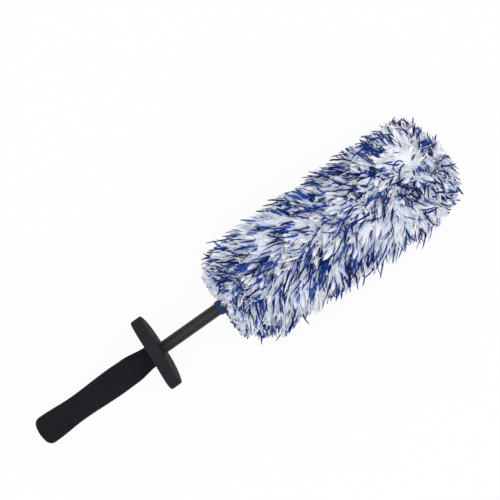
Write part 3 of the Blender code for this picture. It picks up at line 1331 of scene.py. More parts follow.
@dataclass
class Tufts:
    """The tufts of one panel, one row of each array for a tuft.

    Attributes:
        root: Where the tuft leaves the cloth.
        normal: The cloth's outward direction there.
        rise: How far the tuft rises from the cloth.
        lean: How far its tip is combed over, as a vector.
        size: How full it is.
        curl: How far it curls.
        blue: How many blue strands it is expected to have.
        white: How many loose white strands it is expected to have.
        dyed: True where the whole tuft is blue.
        pale: How pale it is, from 0 to 1.
    """

    root: Array
    normal: Array
    rise: Array
    lean: Array
    size: Array
    curl: Array
    blue: Array
    white: Array
    dyed: Array
    pale: Array

    def pick(self, rows: Array) -> "Tufts":
        """Returns some of the tufts."""
        return Tufts(**{name: part[rows] for name, part in vars(self).items()})


class Roots:
    """The roots of one panel's tufts, one row of each array for a root."""

    def __init__(self, panel: Panel, station: Array, angle: Array, radius: Array) -> None:
        """Works out the roots' places and the directions there.

        Args:
            panel: The panel that they are on.
            station: Their stations.
            angle: Their angles.
            radius: Their radii.
        """
        self.panel = panel
        self.station = station
        self.angle = angle
        self.radius = radius
        self.count = len(station)
        zero = np.zeros(self.count)
        self.outward = np.stack([zero, np.sin(angle), np.cos(angle)], axis=1)
        self.around = np.stack([zero, np.cos(angle), -np.sin(angle)], axis=1)
        self.forward = np.tile((1.0, 0.0, 0.0), (self.count, 1))
        across = radius * np.sin(angle)
        up = AXIS_HEIGHT + radius * np.cos(angle)
        self.point = np.stack([BUTT_X + station, across, up], axis=1)


class Drift:
    """A smooth random field over the head, the same after a full turn round it."""

    RADIUS = 0.045

    def __init__(self, draw: np.random.Generator, pitch: float, waves: int = 14) -> None:
        """Draws the field's waves.

        Args:
            draw: Where the random numbers come from.
            pitch: Length of the shortest wave.
            waves: Number of waves.
        """
        self.along = draw.uniform(-1.0, 1.0, waves) * math.tau / pitch
        self.round = np.round(draw.uniform(-1.0, 1.0, waves) * math.tau * self.RADIUS / pitch)
        self.phase = draw.uniform(0.0, math.tau, waves)
        self.scale = math.sqrt(2.0 / waves)

    def at(self, station: Array, angle: Array) -> Array:
        """Returns the field, about from -2 to 2, at stations and angles."""
        waves = np.outer(station, self.along) + np.outer(angle, self.round) + self.phase
        return self.scale * np.cos(waves).sum(axis=1)


def unit(vectors: Array) -> Array:
    """Returns vectors of length 1."""
    return vectors / np.maximum(np.linalg.norm(vectors, axis=-1, keepdims=True), 1e-9)


@dataclass
class PileHead:
    """Shaggy cover of the head: backing cloth, white locks with fibres, and blue strands over them."""

    # Cloth of the three panels
    base: float = 0.216
    end: float = 0.424
    cloth_radius: float = 0.026
    cloth_thickness: float = 0.0014
    base_front: float = 0.2075
    base_hole: float = 0.0069
    seam_gap: float = 0.0012
    end_crown: float = 0.006
    cloth_sides: int = 104
    cloth_steps: int = 40
    panel_steps: int = 12
    sleeve_cut: Cut = Cut(0.159, 0.208, Held.STRETCHED)
    end_cut: Cut = Cut(0.053, 0.053, Held.STRETCHED, 0.0022)
    base_cut: Cut = Cut(0.052, 0.052, Held.GATHERED, 0.0021)
    # The darker backing colour is painted shade between the loops.
    cloth: Finish = KnitFinish("backing_cloth", (0.26, 0.34, 0.74), (0.46, 0.54, 0.86), 120.0, 900.0)

    # Ground of dense fibres
    ground_profile: tuple[Point, ...] = (
        (0.0, 0.4425),
        (0.012, 0.4418),
        (0.022, 0.4395),
        (0.031, 0.4350),
        (0.037, 0.4285),
        (0.0413, 0.4195),
        (0.0432, 0.4060),
        (0.0432, 0.2460),
        (0.0412, 0.2330),
        (0.0365, 0.2235),
        (0.030, 0.2165),
        (0.022, 0.2105),
        (0.013, 0.2086),
    )
    ground_lip: float = 0.002
    ground_gap: float = 0.0008
    ground_ends: Point = (-0.0006, 0.0018)
    ground_dome: Point = (0.4305, 0.4322)
    ground_step: float = 0.0026
    ground_sides: int = 180
    ground_lump: float = 0.0011
    lump_margin: Point = (0.002, 0.010)
    lump_core: float = 0.01
    ground: Finish = FluffFinish("pile_ground", (0.80, 0.83, 0.93), (0.97, 0.96, 0.96))

    # Number of tufts and strands
    rows: int = 50
    columns: int = 40
    end_count: int = 250
    base_count: int = 210
    jitter: float = 0.42
    turn_jitter: float = 0.1
    hole_area: float = 0.05
    fibres_each: int = 10
    blue_fibres_each: int = 12
    combing: Combing = Combing()
    dyeing: Dyeing = Dyeing()
    seed: int = 31

    # Shortest waves of the random fields, and how many waves the two finest have
    swirl_wave: float = 0.020
    comb_wave: float = 0.024
    tint_wave: float = 0.016
    patch_wave: float = 0.014
    fluff_wave: float = 0.018
    lump_wave: float = 0.0055
    clump_wave: float = 0.010
    lump_waves: int = 40
    clump_waves: int = 24

    # Outline that strands are trimmed at
    pile_radius: float = 0.0512
    free_radius: float = 0.0505
    droop: float = 0.0028
    base_radii: Row = (0.0, 0.030, 0.036, 0.040, 0.046, 0.050, 0.054)
    base_stations: Row = (0.2035, 0.2045, 0.2100, 0.2135, 0.2180, 0.2240, 0.2340)
    end_radii: Row = (0.0, 0.010, 0.020, 0.030, 0.036, 0.042, 0.047, 0.051, 0.056)
    end_stations: Row = (0.4495, 0.4480, 0.4450, 0.4415, 0.4385, 0.4345, 0.4300, 0.4220, 0.4050)
    clump_depth: float = 0.0030
    shortest: float = 0.25
    floor_gap: float = 0.0004
    floor_rest: float = 0.0006
    floor_slide: float = 0.5
    guard_stop: float = 0.2024
    cuff_show: float = 0.0070
    cuff_width: float = 0.0090

    # Path of a strand
    root_depth: float = 0.0004
    early_rise: float = 0.35
    late_lean: float = 1.35
    bow_turn: float = 2.6
    curl_rates: Point = (2.0, 5.5)
    tip_halves: Point = (0.0007, 0.0006)
    longest: float = 1.3
    root_mark: float = 0.004
    root_spread: float = 0.03
    root_middle: float = 0.05

    # Kinds of strand
    lock: Strand = Strand(
        places=(0.0, 0.28, 0.52, 0.74, 0.9, 1.0),
        halves=(0.0010, 0.0017, 0.0023, 0.0023, 0.0015, 0.0),
        flat=0.7,
        sides=6,
        vary=0.2,
        ends=(0.92, 1.04),
        reach=(0.0, 0.01),
    )
    fibre: Strand = Strand(
        places=(0.0, 0.36, 0.66, 0.88, 1.0),
        halves=(0.00020, 0.00024, 0.00024, 0.00018, 0.0),
        flat=0.9,
        sides=3,
        vary=0.25,
        ends=(0.85, 1.15),
        reach=(0.8, 1.3),
        stray=0.0014,
        spare=(-0.0022, 0.0040),
    )
    line: Strand = Strand(
        places=(0.0, 0.25, 0.45, 0.62, 0.77, 0.9, 0.97, 1.0),
        halves=(0.00045, 0.00066, 0.00086, 0.00096, 0.00096, 0.00080, 0.00050, 0.0),
        flat=0.8,
        sides=3,
        vary=0.35,
        ends=(0.84, 1.3),
        reach=(0.95, 1.5),
        over=1.0,
        stray=0.0038,
        spare=(-0.003, 0.0066),
        bow=2.6,
        lie=1.4,
    )
    pale_line: Strand = replace(line, spare=(-0.006, 0.002), over=0.5, bow=1.2, lie=1.15)

    # Colour of the strands
    tone_strips: int = 24
    tone_mix: float = 2.2
    pale_lift: float = 0.85
    most_triangles: int = 120000
    white_lock: Finish = StrandFinish(
        "pile_white_lock",
        # Bluish roots and lower lengths: mostly painted bluish shade deep in the pile, over the white strands'
        # own faint periwinkle tint.
        along=(
            (0.0, (0.27, 0.43, 0.94)),
            (0.34, (0.45, 0.61, 0.965)),
            (0.57, (0.77, 0.86, 0.985)),
            (0.74, (0.975, 0.97, 0.985)),
            (1.0, (0.985, 0.96, 0.955)),
        ),
        tones=(
            (0.0, (0.52, 0.69, 0.98)),
            (0.28, (0.82, 0.90, 0.995)),
            (0.5, (1.0, 1.0, 1.0)),
            (1.0, (1.0, 0.995, 0.985)),
        ),
    )
    white_fibre: Finish = StrandFinish(
        "pile_white_fibre",
        # The same painted bluish shade towards the roots as on the locks.
        along=(
            (0.0, (0.27, 0.43, 0.94)),
            (0.34, (0.47, 0.63, 0.97)),
            (0.57, (0.79, 0.875, 0.985)),
            (0.74, (0.98, 0.98, 0.985)),
            (1.0, (0.99, 0.965, 0.96)),
        ),
        tones=(
            (0.0, (0.56, 0.72, 0.98)),
            (0.28, (0.84, 0.91, 0.995)),
            (0.5, (1.0, 1.0, 1.0)),
            (1.0, (1.0, 0.995, 0.985)),
        ),
    )
    dyed: Finish = StrandFinish(
        "pile_dyed_lock",
        along=((0.0, (0.042, 0.13, 0.62)), (0.6, (0.050, 0.15, 0.66)), (1.0, (0.032, 0.092, 0.43))),
        tones=((0.0, (0.55, 0.57, 0.60)), (0.5, (0.9, 0.9, 0.9)), (1.0, (1.4, 1.4, 1.25))),
        smooth=0.65,
        sheen=0.0,
    )
    blue: Finish = StrandFinish(
        "pile_blue",
        along=((0.0, (0.038, 0.142, 0.62)), (0.55, (0.032, 0.125, 0.56)), (1.0, (0.015, 0.055, 0.29))),
        tones=(
            (0.0, (0.02, 0.05, 0.14)),
            (0.42, (0.18, 0.26, 0.38)),
            (0.62, (0.85, 0.92, 0.95)),
            (1.0, (1.8, 1.75, 1.5)),
        ),
        smooth=0.65,
        sheen=0.0,
    )
    draw: np.random.Generator = field(init=False)

    def __post_init__(self) -> None:
        """Starts the random draws from the seed, and draws the fields."""
        self.draw = np.random.default_rng(self.seed)
        self.swirl = Drift(self.draw, self.swirl_wave)
        self.comb = Drift(self.draw, self.comb_wave)
        self.tint = Drift(self.draw, self.tint_wave)
        self.patch = Drift(self.draw, self.patch_wave)
        self.fluff = Drift(self.draw, self.fluff_wave)
        self.lump = Drift(self.draw, self.lump_wave, self.lump_waves)
        self.clump = Drift(self.draw, self.clump_wave, self.clump_waves)

    def near(self, spots: Sequence[Spot], station: Array, angle: Array) -> Array:
        """Finds how near places on the head are to the nearest of some spots.

        Args:
            spots: Station, angle and size of each spot.
            station: Stations of the places.
            angle: Their angles.

        Returns:
            Numbers from 0 to 1.
        """
        closest = np.zeros(len(station))
        for middle, turn, size in spots:
            away = (angle - turn + math.pi) % math.tau - math.pi
            gap = np.hypot(station - middle, away * self.pile_radius)
            closest = np.maximum(closest, np.exp(-((gap / size) ** 2)))
        return np.clip(self.dyeing.spot_core * closest, 0.0, 1.0)

    def from_ridge(self, angle: Array) -> Array:
        """Returns angles counted from the ridge, between half a turn back and half a turn on."""
        return (angle - self.combing.ridge + math.pi) % math.tau - math.pi

    def falling(self, angle: Array) -> Array:
        """Lets tips fall sideways from the ridge on top, to either side of it.

        Args:
            angle: Angles of the roots.

        Returns:
            How far each tip falls.
        """
        comb = self.combing
        away = self.from_ridge(angle)
        mixed = away + self.draw.normal(0.0, comb.ridge_mix, len(angle))
        reach = np.where(mixed > 0.0, *comb.fall)
        last, fade = comb.fall_ends
        return reach * np.tanh(mixed / comb.ridge_width) * np.clip((last - np.abs(away)) / fade, 0.0, 1.0)

    def comb_sleeve(self, roots: Roots, share: Array, wild: Array, full: Array, ways: Ways) -> Lay:
        """Combs the sleeve's tufts back along the brush and down from the ridge.

        Args:
            roots: Their roots.
            share: Shares of the sleeve's length.
            wild: How wildly they lie, from 0 to 1.
            full: How much of its length each one has.
            ways: How far each one drifts sideways and along the brush.

        Returns:
            Outward directions, rises and leans.
        """
        comb = self.combing
        swing = ways[0] + self.falling(roots.angle) * (1.0 - comb.fall_calm * wild)
        reach = np.interp(share, comb.flow_share, comb.flow_reach)
        rise = (np.sqrt(self.pile_radius**2 - swing**2) - roots.radius) * reach * full
        back = np.interp(share, comb.flow_share, comb.flow_back) * (1.0 + comb.sway * np.sin(roots.angle))
        along = np.minimum(ways[1], comb.most_stray) - back
        return roots.outward, rise, roots.forward * along[:, None] + roots.around * swing[:, None]

    def comb_end(self, roots: Roots, full: Array, ways: Ways) -> Lay:
        """Combs the tufts of the end panel outwards.

        Args:
            roots: Their roots.
            full: How much of its length each one has.
            ways: How far each one drifts sideways and along the brush.

        Returns:
            Outward directions, rises and leans.
        """
        comb = self.combing
        part = roots.radius / self.cloth_radius
        normal = unit(roots.forward + roots.outward * (comb.end_flare * part)[:, None])
        rise = (comb.end_rise[0] - comb.end_rise[1] * part) * full
        swing = ways[0] + self.draw.normal(0.0, comb.end_scatter, roots.count)
        lean = roots.outward * (comb.end_lean + ways[1])[:, None] + roots.around * swing[:, None]
        return normal, rise, lean

    def comb_base(self, roots: Roots, full: Array, ways: Ways) -> Lay:
        """Combs the tufts of the base back.

        Args:
            roots: Their roots.
            full: How much of its length each one has.
            ways: How far each one drifts sideways and along the brush.

        Returns:
            Outward directions, rises and leans.
        """
        comb = self.combing
        normal = unit(roots.outward - roots.forward * comb.base_tilt)
        rise = (comb.base_rise[0] + comb.base_rise[1] * roots.radius) * full
        along = comb.base_lean + comb.base_stray[0] * ways[1]
        swing = comb.base_stray[1] * ways[0]
        return normal, rise, roots.forward * along[:, None] + roots.around * swing[:, None]

    def comb_tufts(self, roots: Roots, share: Array, wild: Array) -> Lay:
        """Combs the tufts of a panel.

        Args:
            roots: Their roots.
            share: Shares of the sleeve's length.
            wild: How wildly they lie, from 0 to 1.

        Returns:
            Outward directions, rises and leans.
        """
        comb = self.combing
        draw = self.draw
        where = (roots.station, roots.angle)
        swirl = self.swirl.at(*where)
        loose = 1.0 + comb.scatter_wild * wild
        mean, drift, scatter = comb.shorter
        shorter = mean + drift * self.fluff.at(*where) + draw.normal(0.0, scatter, roots.count)
        full = 1.0 - np.clip(shorter, *comb.shorter_ends)
        swing = swirl * (comb.swing[0] + comb.swing[1] * wild)
        swing = swing + draw.normal(0.0, comb.scatter, roots.count) * loose
        stray = self.comb.at(*where) * (comb.stray[0] + comb.stray[1] * wild)
        stray = stray + draw.normal(0.0, comb.scatter, roots.count) * loose
        fan = np.zeros(roots.count)
        if roots.panel is Panel.SLEEVE:
            normal, rise, lean = self.comb_sleeve(roots, share, wild, full, (swing, stray))
            fan = comb.fan * np.tanh(self.from_ridge(roots.angle) / comb.fan_width)
        elif roots.panel is Panel.END:
            normal, rise, lean = self.comb_end(roots, full, (swing, stray))
        else:
            normal, rise, lean = self.comb_base(roots, full, (swing, stray))
        turn = wild * (comb.swirl * swirl + draw.normal(0.0, 1.0, roots.count) - fan)
        cross = np.cross(normal, lean)
        return normal, rise, lean * np.cos(turn)[:, None] + cross * np.sin(turn)[:, None]

    def tufts_at(self, roots: Roots) -> Tufts:
        """Combs the tufts of a panel and shares out the blue and the white.

        Args:
            roots: Their roots.

        Returns:
            The tufts.
        """
        comb = self.combing
        dye = self.dyeing
        draw = self.draw
        count = roots.count
        share = np.clip((roots.station - self.base) / (self.end - self.base), 0.0, 1.0)
        wild = np.clip((share - comb.wild[0]) / comb.wild[1], 0.0, 1.0)
        normal, rise, lean = self.comb_tufts(roots, share, wild)
        away = self.from_ridge(roots.angle)
        where = (roots.station, roots.angle)
        seen_station = roots.station + dye.seen * (normal[:, 0] * rise + lean[:, 0])
        seen_angle = roots.angle + dye.seen * (lean * roots.around).sum(axis=1) / self.pile_radius
        pale = self.near(dye.pale_spots, seen_station, seen_angle)
        deep = self.near(dye.blue_spots, seen_station, seen_angle)
        crown = dye.crown[0] * wild * np.exp(-((away / dye.crown[1]) ** 2))
        rich = dye.each + crown + dye.spot * deep + dye.drift * self.tint.at(*where)
        rich = rich - {Panel.SLEEVE: 0.0, Panel.END: dye.end_less, Panel.BASE: dye.base_less}[roots.panel]
        plain, drift, spot = dye.dyed
        dyed_share = plain + drift * self.patch.at(*where) + spot * deep
        dyed_share = np.clip(dyed_share, 0.0, dye.dyed_most) * (1.0 - pale)
        size = np.clip(draw.normal(*comb.size, count), *comb.size_ends)
        curl = np.abs(draw.normal(*comb.curl, count)) * (1.0 + comb.curl_wild * wild)
        dyed = draw.random(count) < dyed_share
        rich = rich * np.interp(away, dye.turns, dye.shares)
        rich = rich * np.interp(share, (0.0, dye.start[0]), (dye.start[1], 1.0))
        giving, less, more = dye.gathered
        rich = rich * np.where(draw.random(count) < giving, less, more)
        blue = np.clip(rich + dye.dyed_more * dyed, *dye.limits) * (1.0 - pale)
        white = dye.white * (1.0 + dye.white_wild * wild)
        size = np.where(dyed, dye.dyed_width, 1.0) * size
        whiter = np.maximum(pale, dye.crown_pale * (1.0 if roots.panel is Panel.BASE else wild))
        return Tufts(roots.point, normal, rise, lean, size, curl, blue, white, dyed, whiter)

    def sleeve_tufts(self) -> Tufts:
        """Sets the tufts of the long sleeve in a jittered grid.

        Returns:
            The tufts.
        """
        comb = self.combing
        draw = self.draw
        row, column = np.meshgrid(np.arange(self.rows), np.arange(self.columns), indexing="ij")
        count = row.size
        share = (row.ravel() + 0.5 + draw.uniform(-self.jitter, self.jitter, count)) / self.rows
        station = self.base + (self.end - self.base) * share
        turn = column.ravel() + 0.5 * (row.ravel() % 2) + draw.uniform(-self.jitter, self.jitter, count)
        away = self.from_ridge(turn * math.tau / self.columns)
        angle = comb.ridge + away * (1.0 - comb.crowd * np.exp(-((away / comb.crowd_width) ** 2)))
        return self.tufts_at(Roots(Panel.SLEEVE, station, angle, np.full(count, self.cloth_radius)))

    def sunflower(self, count: int) -> tuple[Array, Array]:
        """Spreads roots like seeds in a sunflower.

        Args:
            count: Number of roots.

        Returns:
            The share of the area inside each root, and its angle.
        """
        number = np.arange(count) + 0.5
        golden = math.pi * (3.0 - math.sqrt(5.0))
        angle = number * golden + self.draw.uniform(-self.turn_jitter, self.turn_jitter, count)
        return number / count, angle

    def end_tufts(self) -> Tufts:
        """Sets the tufts of the domed end panel.

        Returns:
            The tufts.
        """
        area, angle = self.sunflower(self.end_count)
        radius = self.cloth_radius * np.sqrt(area)
        station = self.end + self.seam_gap + self.end_crown * (1.0 - area)
        return self.tufts_at(Roots(Panel.END, station, angle, radius))

    def base_tufts(self) -> Tufts:
        """Sets the tufts of the gathered base, from its hole to the sleeve.

        Returns:
            The tufts.
        """
        area, angle = self.sunflower(self.base_count)
        part = np.sqrt(self.hole_area + (1.0 - self.hole_area) * area)
        radius = self.base_hole + (self.cloth_radius - self.base_hole) * part
        rim = self.base - self.seam_gap
        station = self.base_front + (rim - self.base_front) * part
        return self.tufts_at(Roots(Panel.BASE, station, angle, radius))

    def paths(self, tufts: Tufts, strand: Strand, each: Array) -> tuple[Array, Array]:
        """Draws the middle lines of the strands of tufts.

        Args:
            tufts: The tufts.
            strand: The kind of strand.
            each: Number of the tuft that each strand belongs to.

        Returns:
            An array of strands by rings by three coordinates, and the outer side of each strand's tuft.
        """
        draw = self.draw
        own = tufts.pick(each)
        count = len(each)
        side = unit(np.cross(own.normal, own.lean + LEAST_LEAN))
        outer = np.cross(unit(own.normal * own.rise[:, None] + own.lean), side)
        turn = draw.uniform(0.0, math.tau, count)
        turn = np.where(np.sin(turn) < 0.0, turn + math.pi * strand.over, turn)[:, None]
        reach = (own.size * draw.uniform(*strand.reach, count))[:, None]
        curl_turn = draw.uniform(0.0, math.tau, count)[:, None]
        curl_rate = draw.uniform(*self.curl_rates, count)[:, None]
        bow = own.curl[:, None] * draw.normal(0.0, strand.bow, count)[:, None]
        loose = draw.normal(0.0, strand.stray, (count, 3))
        lock_places = (*self.lock.places, self.longest)
        lock_halves = (*self.lock.halves[:-1], *self.tip_halves)

        def trace(places: Array) -> Array:
            """Finds the points of all strands.

            Args:
                places: Places along each strand, from root to tip.

            Returns:
                Strands by rings by three coordinates.
            """
            width = np.interp(places, lock_places, lock_halves) * reach
            curl = own.curl[:, None] * places * np.sin(curl_rate * places + curl_turn)
            curl = curl + bow * np.sin(self.bow_turn * places)
            climb = (1.0 + self.early_rise) * places - self.early_rise * places**2
            steps = (
                (own.normal, own.rise[:, None] * climb - self.root_depth),
                (own.lean, strand.lie * places**self.late_lean),
                (side, width * np.cos(turn) + curl),
                (outer, self.lock.flat * width * np.sin(turn)),
                (loose, places**2),
            )
            return own.root[:, None, :] + sum(way[:, None, :] * size[:, :, None] for way, size in steps)

        places = np.array(strand.places)[None, :] * draw.uniform(*strand.ends, count)[:, None]
        spare = draw.uniform(*strand.spare, count)
        places = places * self.trim(strand, trace(places), spare)[:, None]
        return self.settle(trace(places)), outer

    def trim(self, strand: Strand, line: Array, spare: Array) -> Array:
        """Finds how much of each strand stays inside the head's outline.

        Args:
            strand: The kind of strand.
            line: Middle lines.
            spare: How far each strand may stand out of the outline.

        Returns:
            Shares from 0 to 1.
        """
        radius = np.hypot(line[:, :, 1], line[:, :, 2] - AXIS_HEIGHT)
        station = line[:, :, 0] - BUTT_X
        free = self.free_radius - self.droop * line[:, :, 1] / np.maximum(radius, SMALL_LENGTH)
        first = np.interp(radius, self.base_radii, self.base_stations)
        first = first + self.cuff_show * np.exp(-((line[:, :, 1] / self.cuff_width) ** 2))
        last = np.interp(radius, self.end_radii, self.end_stations)
        angle = np.arctan2(line[:, -1, 1], line[:, -1, 2] - AXIS_HEIGHT)
        spare = spare + self.clump_depth * self.clump.at(station[:, -1], angle)
        outside = np.maximum(np.maximum(radius - free, first - station), station - last) - spare[:, None]
        outside[:, 0] = -SMALL_LENGTH
        crossed = outside > 0.0
        ring = np.argmax(crossed, axis=1)
        row = np.arange(len(ring))
        inner = outside[row, ring - 1]
        part = np.clip(inner / (inner - outside[row, ring]), 0.0, 1.0)
        places = np.array(strand.places)
        share = places[ring - 1] + part * (places[ring] - places[ring - 1])
        return np.where(crossed.any(axis=1), np.maximum(share, self.shortest), 1.0)

    def settle(self, line: Array) -> Array:
        """Keeps middle lines above the floor and out of the guard's way.

        Args:
            line: Middle lines.

        Returns:
            The moved lines.
        """
        under = np.maximum(self.floor_gap + self.floor_rest - line[:, :, 2], 0.0)
        line[:, :, 1] += np.sign(line[:, :, 1]) * self.floor_slide * under
        line[:, :, 2] += under
        line[:, :, 0] = np.maximum(line[:, :, 0], BUTT_X + self.guard_stop)
        return line

    def spin_strands(
        self, name: str, strand: Strand, line: Array, outer: Array, size: Array, pale: Array
    ) -> Piece:
        """Makes tapered strands on middle lines, all mapped on shared strips.

        Args:
            name: The piece's name.
            strand: The kind of strand.
            line: Middle lines, strands by rings by three coordinates.
            outer: The direction that the first corner of each strand's section points in.
            size: How wide each strand is, over its kind.
            pale: How pale each strand is, which moves it up its strip, past the painted shade of the roots,
                towards the tip's colour.

        Returns:
            The piece.
        """
        draw = self.draw
        count, rings, _ = line.shape
        along = unit(np.gradient(line, axis=1))
        second = unit(np.cross(along, outer[:, None, :]))
        first = np.cross(second, along)
        wide = size * draw.uniform(1.0 - strand.vary, 1.0 + strand.vary, count)
        halves = np.array(strand.halves)[None, :] * wide[:, None]
        body = rings - 1
        corners = np.empty((count, body, strand.sides, 3))
        for corner in range(strand.sides):
            turn = math.tau * corner / strand.sides
            offset = strand.flat * math.cos(turn) * first + math.sin(turn) * second
            corners[:, :, corner] = line[:, :body] + (halves[:, :, None] * offset)[:, :body]
        points = np.concatenate([corners.reshape(count, -1, 3), line[:, -1:]], axis=1)
        points[:, :, 2] = np.maximum(points[:, :, 2], self.floor_gap)
        faces, marks = self.strand_faces(strand)
        shift = np.arange(count)[:, None, None] * points.shape[1]
        tone = np.floor(draw.beta(self.tone_mix, self.tone_mix, count) * self.tone_strips)
        tone = np.minimum(tone, self.tone_strips - 1)
        maps = np.tile(marks[None], (count, 1, 1, 1))
        maps[..., 0] = (maps[..., 0] + tone[:, None, None]) / self.tone_strips
        # Pale strands start higher up their strip, above the painted root shade.
        maps[..., 1] += (1.0 - maps[..., 1]) * self.pale_lift * pale[:, None, None]
        mesh = bpy.data.meshes.new(name)
        mesh.from_pydata(points.reshape(-1, 3), [], (faces[None] + shift).reshape(-1, 3), shade_flat=False)
        layer = mesh.uv_layers.new(name=BAKE_MAP)
        layer.data.foreach_set("uv", maps.reshape(-1).astype(np.float32))
        piece = bpy.data.objects.new(name, mesh)
        bpy.context.scene.collection.objects.link(piece)
        return piece

    def strand_faces(self, strand: Strand) -> tuple[Array, Array]:
        """Joins the rings of one strand by triangles.

        Args:
            strand: The kind of strand.

        Returns:
            The triangles, and their corners on a strip that is one wide and one long.
        """
        sides = strand.sides
        rings = len(strand.places)
        tip = sides * (rings - 1)
        faces = []
        marks = []
        low = self.root_mark
        for corner in range(1, sides - 1):
            near = corner / sides
            far = (corner + 1) / sides
            faces.append((0, corner, corner + 1))
            marks.append(((self.root_middle, low), (near, low + self.root_spread * near), (far, low)))
        for ring in range(rings - 1):
            low = strand.places[ring]
            high = strand.places[ring + 1]
            for side in range(sides):
                left = sides * ring + side
                right = sides * ring + (side + 1) % sides
                near = side / sides
                far = (side + 1) / sides
                if ring == rings - 2:
                    faces.append((right, left, tip))
                    marks.append(((far, low), (near, low), ((near + far) / 2.0, high)))
                else:
                    faces.append((right, left, left + sides))
                    marks.append(((far, low), (near, low), (near, high)))
                    faces.append((right, left + sides, right + sides))
                    marks.append(((far, low), (near, high), (far, high)))
        return np.array(faces), np.array(marks)

    def strands(
        self, name: str, finish: Finish, panel: Panel, tufts: Tufts, strand: Strand, each: Array
    ) -> list[Piece]:
        """Makes strands of one kind and hands them in, in as many pieces as keep each one small.

        Args:
            name: The name of a single piece, and the start of the names of several.
            finish: Their finish.
            panel: The panel that they grow on.
            tufts: The tufts that they belong to.
            strand: The kind of strand.
            each: The tuft of each strand.

        Returns:
            The pieces.
        """
        size_limit = self.most_triangles // len(self.strand_faces(strand)[0])
        count = math.ceil(len(each) / size_limit)
        order = each[np.argsort(tufts.root[each, 0], kind="stable")]
        pieces = []
        for number, rows in enumerate(np.array_split(order, count), 1):
            line, outer = self.paths(tufts, strand, rows)
            size = tufts.size[rows]
            if strand is not self.lock:
                outer = unit(self.draw.normal(0.0, 1.0, outer.shape))
                size = np.ones(len(rows))
            label = f"{name}_{number}" if count > 1 else name
            piece = self.spin_strands(label, strand, line, outer, size, tufts.pale[rows])
            hand_in(piece, finish, Slot.PILE, Body.HANDLE, panel.value)
            pieces.append(piece)
        return pieces

    def grow(self, panel: Panel, label: str, tufts: Tufts) -> list[Piece]:
        """Grows a panel's locks, fibres and loose strands and hands them in.

        Args:
            panel: The panel.
            label: The panel's word in the names of its pieces.
            tufts: Its tufts.

        Returns:
            The pieces that grow on the panel.
        """
        white = tufts.pick(np.flatnonzero(~tufts.dyed))
        dyed = tufts.pick(np.flatnonzero(tufts.dyed))
        every = np.arange(len(white.rise))
        every_dyed = np.arange(len(dyed.rise))
        fringe = np.repeat(every, self.fibres_each)
        dyed_fringe = np.repeat(every_dyed, self.blue_fibres_each)
        lines = np.repeat(np.arange(len(tufts.rise)), self.draw.poisson(tufts.blue))
        pale_lines = np.repeat(every, self.draw.poisson(white.white))
        kinds = (
            ("locks", self.white_lock, white, self.lock, every),
            ("dyed_locks", self.dyed, dyed, self.lock, every_dyed),
            ("fibres", self.white_fibre, white, self.fibre, fringe),
            ("dyed_fibres", self.blue, dyed, self.fibre, dyed_fringe),
            ("blue", self.blue, tufts, self.line, lines),
            ("white", self.white_fibre, white, self.pale_line, pale_lines),
        )
        pieces = []
        for word, finish, owners, strand, each in kinds:
            pieces += self.strands(f"pile_{label}_{word}", finish, panel, owners, strand, each)
        return pieces

    def backing(self, panel: Panel) -> Piece:
        """Spins the backing cloth of a panel as a thin closed sheet.

        Args:
            panel: The panel.

        Returns:
            The cloth.
        """
        outer = self.cloth_radius
        inner = outer - self.cloth_thickness
        if panel is Panel.SLEEVE:
            outside = [(outer, self.end)] + even((outer, self.end), (outer, self.base), self.cloth_steps)
            inside = [(inner, self.base)] + even((inner, self.base), (inner, self.end), self.cloth_steps)
            return Bench.spin("backing_sleeve", outside + inside, self.cloth_sides, True)
        if panel is Panel.END:
            rim = self.end + self.seam_gap
            shares = np.linspace(0.0, 1.0, self.panel_steps)
            crown = self.end_crown
            outside = [(outer * share, rim + crown * (1.0 - share**2)) for share in shares]
            crown = self.end_crown - self.cloth_thickness
            inside = [(inner * share, rim + crown * (1.0 - share**2)) for share in shares[::-1]]
            return Bench.spin("backing_end", outside + inside, self.cloth_sides, False)
        rim = self.base - self.seam_gap
        front = (self.base_hole, self.base_front)
        outside = [(outer, rim)] + even((outer, rim), front, self.panel_steps)
        lip = (self.base_hole, self.base_front + self.cloth_thickness)
        inside = [lip] + even(lip, (inner, rim), self.panel_steps)
        return Bench.spin("backing_base", outside + inside, self.cloth_sides, True)

    def lumpy(self, points: Array) -> Array:
        """Pushes the ground in and out in soft clumps where it faces outwards.

        Args:
            points: The piece's points, one a row.

        Returns:
            The moved points.
        """
        radius, angle = polar(points)
        station = points[:, 0] - BUTT_X
        beside, beyond = self.lump_margin
        outside = (radius > self.cloth_radius + beside) | (station > self.end + beyond)
        push = 1.0 + self.ground_lump * self.lump.at(station, angle) / np.maximum(radius, self.lump_core)
        return swelled(points, np.where(outside, push, 1.0))

    def build_ground(self) -> None:
        """Spins the dense pale fibres that fill the space between the backing and the locks."""
        route = [self.ground_profile[0]]
        for near, far in zip(self.ground_profile, self.ground_profile[1:]):
            steps = max(2, round(math.dist(near, far) / self.ground_step))
            route += even(near, far, steps)
        back = self.cloth_radius + self.ground_gap
        lip_radius, lip_station = self.ground_profile[-1]
        shoulder, crown = self.ground_dome
        inside = [
            (lip_radius, lip_station + self.ground_lip),
            (back, self.base + self.ground_ends[0]),
            (back, self.end + self.ground_ends[1]),
            (back / 2.0, shoulder),
            (0.0, crown),
        ]
        piece = Bench.spin("pile_ground", route + inside, self.ground_sides, False)
        Bench.reshape(piece, self.lumpy)
        hand_in(piece, self.ground, Slot.PILE, Body.HANDLE, *(panel.value for panel in Panel))

    def build(self) -> None:
        """Builds cloth and strands of the three panels."""
        self.build_ground()
        panels = (
            (Panel.SLEEVE, "sleeve", self.sleeve_tufts, self.sleeve_cut),
            (Panel.END, "end", self.end_tufts, self.end_cut),
            (Panel.BASE, "base", self.base_tufts, self.base_cut),
        )
        for panel, label, tufts, cut in panels:
            cloth = hand_in(self.backing(panel), self.cloth, Slot.PILE, Body.HANDLE, panel.value)
            cut.declare(cloth, "sponge_core", self.grow(panel, label, tufts()))


